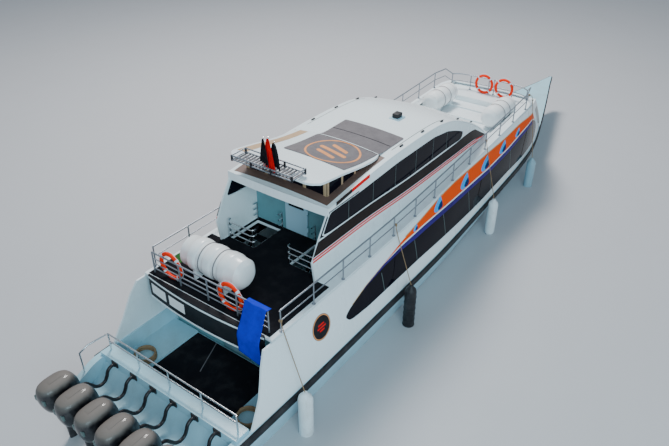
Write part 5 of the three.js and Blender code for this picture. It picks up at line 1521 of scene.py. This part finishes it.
class FERRY_OT_rails(FerryOperator, bpy.types.Operator):
    """Deck rails, aft rail and the handrail over the beam"""
    bl_idname = "ferry.rails"
    bl_label = "Rails"

    def build(self, context, gear):
        posts = [(x, deck_half_at(x) - RAIL_IN) for x in (RAIL_AFT_X + RAIL_PITCH * k for k in range(13))]

        def foot(x, y):
            return FOREDECK["step_z"] if y < FOREDECK["half"] else deck_z_at(x)

        for word, side in (("stbd", -1), ("port", 1)):
            rail = Piece("rail_" + word)
            for height, r in ((RAIL_TOP, RAIL_R), (RAIL_MID, RAIL_R * 0.7)):
                straight = [(x, side * y, foot(x, y) + height) for x, y in posts]
                bend = [(x, side * y, foot(x, y) + height) for x, y in FRONT_TURN]
                rail.add(tube(straight + bend[:1] + curve_through(bend[1:], per=4), r, 10), "rail_steel")
            for x, y in posts + [FRONT_TURN[1], FRONT_TURN[3], (4.70, 0.1)]:
                z = foot(x, y)
                post = [(x, side * y, z), (x, side * y, z + RAIL_TOP)]
                rail.add(mitred(post, RAIL_R * 0.9, 10), "rail_steel")
                socket = [(z + far, r) for far, r in RAIL_SOCKET]
                rail.add(turned(socket, (x, side * y, 0), "z", 14), "rail_steel")
            rail.make(slot="stainless", replaces=["deck_rail_" + word], sharp=50)
        aft = Piece("rail_aft")
        x, half, foot = AFT_RAIL["x"], AFT_RAIL["half"], AFT_RAIL["foot"]
        for h, r in ((0.12, 0.7), (0.26, 0.7), (0.40, 0.7), (0.56, 1.0)):
            aft.add(mitred([(x, -half, foot + h), (x, half, foot + h)], RAIL_R * r, 10), "rail_steel")
        for y in steps(-half, half, 4):
            aft.add(mitred([(x, y, foot), (x, y, 3.16)], RAIL_R, 10), "rail_steel")
        aft.make(slot="stainless", replaces=["aft_rail"], sharp=50)
        well = Piece("rail_well")
        x, half, foot, mid, top = (WELL_RAIL[key] for key in ("x", "half", "foot", "mid", "top"))
        for z in (top, mid):
            well.add(mitred([(x, -half, z), (x, half, z)], RAIL_R, 10), "steel")
        for y in steps(-half, half, 4):
            well.add(mitred([(x, y, foot), (x, y, top)], RAIL_R, 10), "steel")
        bend = [(x, half, top), (-11.13, 2.0, top), (-11.33, 2.05, 1.48), (-11.33, 2.05, 0.939)]
        well.add(mitred(bend, RAIL_R, 10), "steel")
        well.make(slot="stainless", replaces=["well_rail"], sharp=50)


def canister(piece, centre, axis, r, half):
    """A raft canister with ribs and two straps."""
    nose = [(-half, 0.0), (-half, r * 0.55), (-half + 0.03, r * 0.70), (-half + 0.11, r * 0.90)]
    middle = []
    for t in (-0.5, 0.0, 0.5):
        middle += [(t * half - 0.13, r * 0.93), (t * half - 0.10, r * 0.985), (t * half - 0.06, r),
                   (t * half + 0.06, r), (t * half + 0.10, r * 0.985), (t * half + 0.13, r * 0.93)]
    tail = [(-far, q) for far, q in reversed(nose)]
    piece.add(turned(nose + middle + tail, centre, axis, 48), "raft_shell")
    turn = {"x": 0, "y": 1}[axis]
    for t in (-0.25, 0.25):
        at = list(centre)
        at[turn] += t * half
        piece.add(ring_shape(at, axis, r * 0.935, 0.012, 48, 8), "strap")


class FERRY_OT_rafts(FerryOperator, bpy.types.Operator):
    """Life raft canisters on their cradles"""
    bl_idname = "ferry.rafts"
    bl_label = "Life rafts"

    def build(self, context, gear):
        fore = Piece("canisters_fore")
        x, y, z, r, half = RAFTS_FORE.values()
        for side in (-1, 1):
            canister(fore, (x, side * y, z), "x", r, half)
        for t in (-0.5, 0.5):
            at = x + t * half
            fore.add(slab((at - 0.035, -1.37, 2.651), (at + 0.035, 1.37, 2.701)), "gelcoat")
            for side in (-1, 1):
                cradle = slab((at - 0.035, side * y - 0.24, 2.69), (at + 0.035, side * y + 0.24, 2.83))
                fore.add(cradle, "gelcoat")
        fore.make(slot="raft_shell", replaces=["rafts_fore"], sharp=35)
        aft = Piece("canister_aft")
        x, y, z, r, half = RAFT_AFT.values()
        canister(aft, (x, y, z), "y", r, half)
        for t in (-0.5, 0.5):
            at = y + t * half
            aft.add(slab((-8.95, at - 0.035, 2.60), (-8.35, at + 0.035, 2.895)), "gelcoat")
        aft.make(slot="raft_shell", replaces=["raft_aft"], sharp=35)


class FERRY_OT_lifebuoys(FerryOperator, bpy.types.Operator):
    """Lifebuoys with white bands and grab lines"""
    bl_idname = "ferry.lifebuoys"
    bl_label = "Lifebuoys"

    def build(self, context, gear):
        for word in ("aft_port", "aft_stbd", "fore_port", "fore_stbd"):
            low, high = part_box("lifebuoy_" + word)
            centre = (low + high) / 2
            r = (high.x - low.x) / 2
            ring = (high.z - low.z) / 2 - r
            piece = Piece("buoy_" + word)
            piece.add(ring_shape(centre, "x", ring, r, 56, 16), "buoy")
            for k in range(4):
                a = math.pi / 4 + k * math.pi / 2 - math.pi * gear.buoy_band
                piece.add(ring_shape(centre, "x", ring, r + 0.002, 6, 16, start=a,
                                     sweep=2 * math.pi * gear.buoy_band), "buoy_band")
            line = []
            for k in range(64):
                a = 2 * math.pi * k / 64
                sag = abs(math.sin(2 * (a - math.pi / 4)))
                far = ring + r + 0.006 + 0.035 * sag
                line.append((centre.x, centre.y + far * math.cos(a), centre.z + far * math.sin(a)))
            piece.add(tube(line, 0.005, 8, closed=True), "buoy_band")
            piece.make(slot="buoy_plastic", replaces=["lifebuoy_" + word], sharp=60)


class FERRY_OT_fenders(FerryOperator, bpy.types.Operator):
    """Fenders on their lanyards"""
    bl_idname = "ferry.fenders"
    bl_label = "Fenders"

    def build(self, context, gear):
        rows = [  # x, y, foot, radius, length and finish
            (-9.13, -2.44, -0.13, 0.165, 1.35, "fender"),
            (-4.80, -2.43, -0.25, 0.150, 1.55, "fender_black"),
            (0.47, -2.29, -0.06, 0.150, 1.33, "fender"),
            # This fender's grey-blue is painted shade on a white fender.
            (4.18, -2.07, -0.27, 0.150, 1.37, "fender_blue"),
        ]
        for number, (x, y, low, r, long, finish) in enumerate(rows):
            top = low + long
            profile = [(low, 0.0), (low, r * 0.30), (low + 0.03, r * 0.45), (low + 0.05, r * 0.62),
                       (low + 0.10, r * 0.90), (low + 0.16, r), (top - 0.20, r), (top - 0.13, r * 0.88),
                       (top - 0.07, r * 0.55), (top - 0.04, r * 0.38), (top, r * 0.30), (top, 0.0)]
            piece = Piece("fender_" + str(number + 1)).add(turned(profile, (x, y, 0), "z", 28), finish)
            knot_y = -FRONT_TURN[0][1] if x > 4 else RAIL_IN - deck_half_at(x)
            for k in range(6 if finish == "fender_black" else 0):
                piece.add(ring_shape((x, y, low + 0.28 + 0.18 * k), "z", r, 0.010, 28, 8), finish)
            z = deck_z_at(x)
            lane = [(x, y, top - 0.02), (x, -(deck_half_at(x) + 0.03), z + 0.04),
                    (x, knot_y - 0.03, z + RAIL_MID)]
            piece.add(tube(curve_through(lane, 12), 0.010, 8), "rope")
            for k in range(3):
                knot = (x + 0.018 * (k - 1), knot_y, z + RAIL_MID)
                piece.add(ring_shape(knot, "x", 0.026, 0.010, 16, 8), "rope")
            piece.make(slot="fender_vinyl", replaces=["fender_stbd_" + str(number + 1)], sharp=60)


class FERRY_OT_cover(FerryOperator, bpy.types.Operator):
    """Blue cover laid over the aft rail's starboard end"""
    bl_idname = "ferry.cover"
    bl_label = "Cover"

    def build(self, context, gear):
        low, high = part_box("tarp")
        top = high.z
        line = [(low.x + 0.45, top - 0.004), (low.x + 0.33, top - 0.002), (low.x + 0.30, top - 0.01),
                (low.x + 0.15, top - 0.36), (low.x + 0.02, 2.56), (low.x + 0.012, 2.30), (low.x + 0.02, 1.97)]
        run = curve_through([(x, 0, z) for x, z in line], per=8)
        across = 30
        rows = []
        for j, p in enumerate(run):
            t = j / (len(run) - 1)
            row = []
            for i, y in enumerate(steps(high.y, low.y, across)):
                s = i / across
                fold = 0.010 * math.sin(9 * s + 2.2 * t) * math.sin(math.pi * min(1, 1.4 * t))
                hang = 0.30 * (1 - s) * max(0.0, t - 0.55) ** 1.2 if t > 0.55 else 0.0
                row.append((p.x + fold, y + 0.02 * math.sin(5 * t) * s, p.z + hang))
            rows.append(row)
        points, faces = cloth_mesh(rows)
        # The cover's finish carries painted fold shade in random patches.
        cover = Piece("blue_cover").add((points, faces), "tarp")
        made = cover.make(slot="tarp_fabric", replaces=["tarp"], sharp=80)
        thick = made.modifiers.new("cloth", "SOLIDIFY")
        thick.thickness = 0.003
        area = sheet_area(points, faces)


class FERRY_OT_hoses(FerryOperator, bpy.types.Operator):
    """Rigging hoses that run aft to their outboards"""
    bl_idname = "ferry.hoses"
    bl_label = "Hoses"

    def build(self, context, gear):
        base = [(-0.02, 1.06), (-0.12, 1.065), (-0.21, 1.01), (-0.26, 0.90), (-0.33, 0.80), (-0.45, 0.77),
                (-0.57, 0.83), (-0.66, 0.95), (-0.76, 1.08), (-0.868, 1.13)]
        for k, y in enumerate(ENGINE_YS):
            run = curve_through([(BEAM_AFT_X + dx, y, z) for dx, z in base], per=6)
            piece = Piece("hose_" + str(k + 1)).add(tube(run, 0.040, 14), "hose")
            made = piece.make(rides=False, slot="hose_rubber", replaces=["rigging_hoses"], sharp=60)
            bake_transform(made)
        plates = Piece("hose_plates")
        for y in ENGINE_YS:
            plate = slab((BEAM_AFT_X - 0.03, y - 0.10, 0.98), (BEAM_AFT_X - 0.001, y + 0.10, 1.12), 0.008)
            plates.add(plate, "rubber")
            plates.add(ring_shape((BEAM_AFT_X - 0.045, y, 1.06), "x", 0.048, 0.012, 24, 8), "rubber")
        plates.make(slot="hose_rubber", sharp=40)


def superellipse(cx, cy, z, long, wide, count=36, power=2.6):
    """A level ring between an ellipse and a rectangle."""
    ring = []
    for k in range(count):
        a = 2 * math.pi * k / count
        c, s = math.cos(a), math.sin(a)
        ring.append((cx + long * math.copysign(abs(c) ** (2 / power), c),
                     cy + wide * math.copysign(abs(s) ** (2 / power), s), z))
    return ring
# Cowl by height in column x: fore and aft reach from the steering axis, and half width.
COWL = [
    {"x": 1.000, "f": 0.100, "a": -0.590, "w": 0.170},
    {"x": 1.100, "f": 0.130, "a": -0.680, "w": 0.235},
    {"x": 1.300, "f": 0.120, "a": -0.745, "w": 0.258},
    {"x": 1.480, "f": 0.090, "a": -0.760, "w": 0.262},
    {"x": 1.600, "f": 0.040, "a": -0.740, "w": 0.245},
    {"x": 1.680, "f": -0.030, "a": -0.690, "w": 0.205},
    {"x": 1.715, "f": -0.110, "a": -0.600, "w": 0.140},
]
COWL_TOP = COWL[-1]["x"]
# Leg and strut: height, fore and aft reach, half width.
LEG = [(1.02, 0.09, -0.56, 0.155), (0.94, 0.0, -0.54, 0.15), (0.88, -0.12, -0.52, 0.14),
       (0.70, -0.13, -0.47, 0.11), (0.50, -0.14, -0.42, 0.085), (0.25, -0.13, -0.40, 0.07),
       (0.0, -0.12, -0.40, 0.062), (-0.25, -0.09, -0.42, 0.045)]
STRUT = [(-0.24, -0.09, -0.42, 0.045), (-0.40, -0.05, -0.40, 0.030), (-0.54, 0.0, -0.38, 0.042)]
# Plate over the propeller, from the steering axis, and the gearcase's length and radius ahead of the hub.
PLATE = [(-0.06, -0.06), (-0.06, 0.06), (-0.52, 0.13), (-0.64, 0.06), (-0.64, -0.06), (-0.52, -0.13)]
CASE = [(0.012, 0.0), (0.012, 0.060), (0.03, 0.068), (0.18, 0.080), (0.34, 0.078), (0.45, 0.064),
        (0.54, 0.038), (0.59, 0.014), (0.60, 0.0)]
SKEG = [(0.03, -0.05), (-0.30, -0.05), (-0.33, -0.26), (-0.18, -0.26)]


def outboard(name, y):
    """One outboard: cowl, tray, leg, plate, gearcase and skeg."""
    piece = Piece(name)
    fore, aft, wide = along(COWL, "f"), along(COWL, "a"), along(COWL, "w")
    rings = []
    for z in steps(1.000, 1.100, 3) + steps(1.118, 1.128, 1) + steps(1.15, 1.6, 9) + steps(1.625, 1.715, 6):
        groove = 0.985 if 1.117 < z < 1.13 else 1.0
        f, a, w = fore(z), aft(z), wide(z)
        rings.append(superellipse(STEER_X + (f + a) / 2, y, z, (f - a) / 2 * groove, w * groove))
    f, a, w = fore(COWL_TOP), aft(COWL_TOP), wide(COWL_TOP)
    for share, lift in ((0.7, 0.008), (0.35, 0.012)):
        middle = STEER_X + (f + a) / 2
        rings.append(superellipse(middle, y, COWL_TOP + lift, (f - a) / 2 * share, w * share))
    piece.add(loft(rings), "cowl")
    crest = []
    for x in steps(STEER_X - 0.02, STEER_X - 0.66, 10):
        t = (STEER_X - 0.02 - x) / 0.64
        top = 1.722 - 0.10 * (2 * t - 1) ** 4
        w = 0.055 + 0.03 * t
        crest.append([(x, y - w, top - 0.04), (x, y - w * 0.8, top + 0.010), (x, y + w * 0.8, top + 0.010),
                      (x, y + w, top - 0.04)])
    piece.add(loft(crest), "cowl")
    for side in (-1, 1):
        middle = y + side * 0.10
        vent = slab((STEER_X - 0.75, middle - 0.07, 1.38), (STEER_X - 0.71, middle + 0.07, 1.50), 0.01)
        piece.add(vent, "seam")
    for table, power in ((LEG, 2.3), (STRUT, 2.0)):
        column = []
        for z, f, a, w in table:
            column.append(superellipse(STEER_X + (f + a) / 2, y, z, (f - a) / 2, w, 24, power))
        piece.add(loft(column), "cowl")
    plate = rounded([(STEER_X + dx, y + dy) for dx, dy in PLATE], 0.04)
    piece.add(panel(plate, flat_z(-0.246), 0.016, step=(0.3, 0.3)), "cowl")
    case = [(PROP_X + far, r) for far, r in CASE]
    piece.add(turned(case, (0, y, PROP_Z), "x", 28), "cowl")
    skeg = rounded([(STEER_X + dx, PROP_Z + dz) for dx, dz in SKEG], 0.03)
    piece.add(panel(skeg, lambda x, z, d: (x, y + 0.010 - d, z), 0.020, step=(0.3, 0.3)), "cowl")
    piece.add(mitred([(STEER_X, y, 0.12), (STEER_X, y, 0.88)], 0.026, 16), "steel")
    piece.add(slab((STEER_X - 0.28, y - 0.09, 0.86), (STEER_X + 0.06, y + 0.09, 0.94), 0.02), "cowl")
    piece.add(slab((STEER_X - 0.28, y - 0.06, 0.06), (STEER_X + 0.05, y + 0.06, 0.14), 0.02), "cowl")
    piece.add(mitred([(PROP_X + 0.05, y, PROP_Z), (PROP_X - 0.19, y, PROP_Z)], 0.016, 12), "steel")
    return piece


def propeller(name, y):
    """Hub and three twisted blades."""
    piece = Piece(name)
    hub = [(PROP_X - 0.19, 0.018), (PROP_X - 0.19, 0.040), (PROP_X - 0.12, 0.052), (PROP_X - 0.04, 0.062),
           (PROP_X + 0.006, 0.064), (PROP_X + 0.006, 0.018)]
    turn = turned(hub + [hub[0]], (0, y, PROP_Z), "x", 28)
    piece.add((turn[0], turn[1][:-2]), "prop")
    for blade in range(3):
        spin = blade * 2 * math.pi / 3 + 0.5
        rings = []
        for j in range(9):
            t = j / 8
            r = 0.045 + 0.145 * t
            wide = 0.045 + 0.045 * math.sin(math.pi * min(1, 0.75 * t + 0.18)) - 0.05 * max(0, t - 0.7) / 0.3
            pitch = 0.9 - 0.45 * t
            thick = 0.008 * (1 - 0.6 * t)
            ring = []
            for k in range(14):
                a = 2 * math.pi * k / 14
                c = wide * math.cos(a)
                th = thick * math.sin(a)
                ax = c * math.sin(pitch) + th * math.cos(pitch)
                tn = c * math.cos(pitch) - th * math.sin(pitch)
                ring.append((PROP_X - 0.09 + ax, y + r * math.cos(spin) - tn * math.sin(spin),
                             PROP_Z + r * math.sin(spin) + tn * math.cos(spin)))
            rings.append(ring)
        piece.add(loft(rings), "prop")
    return piece


class FERRY_OT_outboards(FerryOperator, bpy.types.Operator):
    """Six outboards with their swivels, propellers and brackets"""
    bl_idname = "ferry.outboards"
    bl_label = "Outboards"

    def build(self, context, gear):
        for k, y in enumerate(ENGINE_YS):
            n = str(k + 1)
            motor = outboard("motor_" + n, y)
            motor.make(body="outboard_" + n, slot="engine_paint", replaces=["outboard_" + n], sharp=35)
            screw = propeller("screw_" + n, y)
            screw.make(body="prop_" + n, slot="prop_steel", replaces=["prop_" + n], sharp=40)
            skin_of("swivel_" + n, "bracket", "bracket_paint", body="swivel_" + n)
        skin_of("clamp_brackets", "bracket", "bracket_paint")


STEPS = [FERRY_OT_view, FERRY_OT_ropes, FERRY_OT_stage, FERRY_OT_hull, FERRY_OT_cabin, FERRY_OT_stripes,
         FERRY_OT_upper_cabin, FERRY_OT_canopy, FERRY_OT_deck, FERRY_OT_rails, FERRY_OT_rafts,
         FERRY_OT_lifebuoys, FERRY_OT_fenders, FERRY_OT_cover, FERRY_OT_hoses, FERRY_OT_outboards]


class FERRY_PT_panel(bpy.types.Panel):
    """The ferry's steps and colours in the sidebar"""
    bl_idname = "FERRY_PT_panel"
    bl_label = "Passenger ferry"
    bl_space_type = "VIEW_3D"
    bl_region_type = "UI"
    bl_category = "Ferry"

    def draw(self, context):
        for step in STEPS:
            self.layout.operator(step.bl_idname)
        for group in (context.scene.ferry_gear, context.scene.ferry_paint):
            for key in group.__annotations__:
                self.layout.prop(group, key)


CLASSES = [FerryPaint, FerryGear, *STEPS, FERRY_PT_panel]


def register():
    for item in CLASSES:
        bpy.utils.register_class(item)
    bpy.types.Scene.ferry_paint = bpy.props.PointerProperty(type=FerryPaint)
    bpy.types.Scene.ferry_gear = bpy.props.PointerProperty(type=FerryGear)


def unregister():
    del bpy.types.Scene.ferry_gear
    del bpy.types.Scene.ferry_paint
    for item in reversed(CLASSES):
        bpy.utils.unregister_class(item)


def main():
    register()
    for step in STEPS:
        group, name = step.bl_idname.split(".")
        getattr(getattr(bpy.ops, group), name)()


if __name__ == "__main__":
    main()
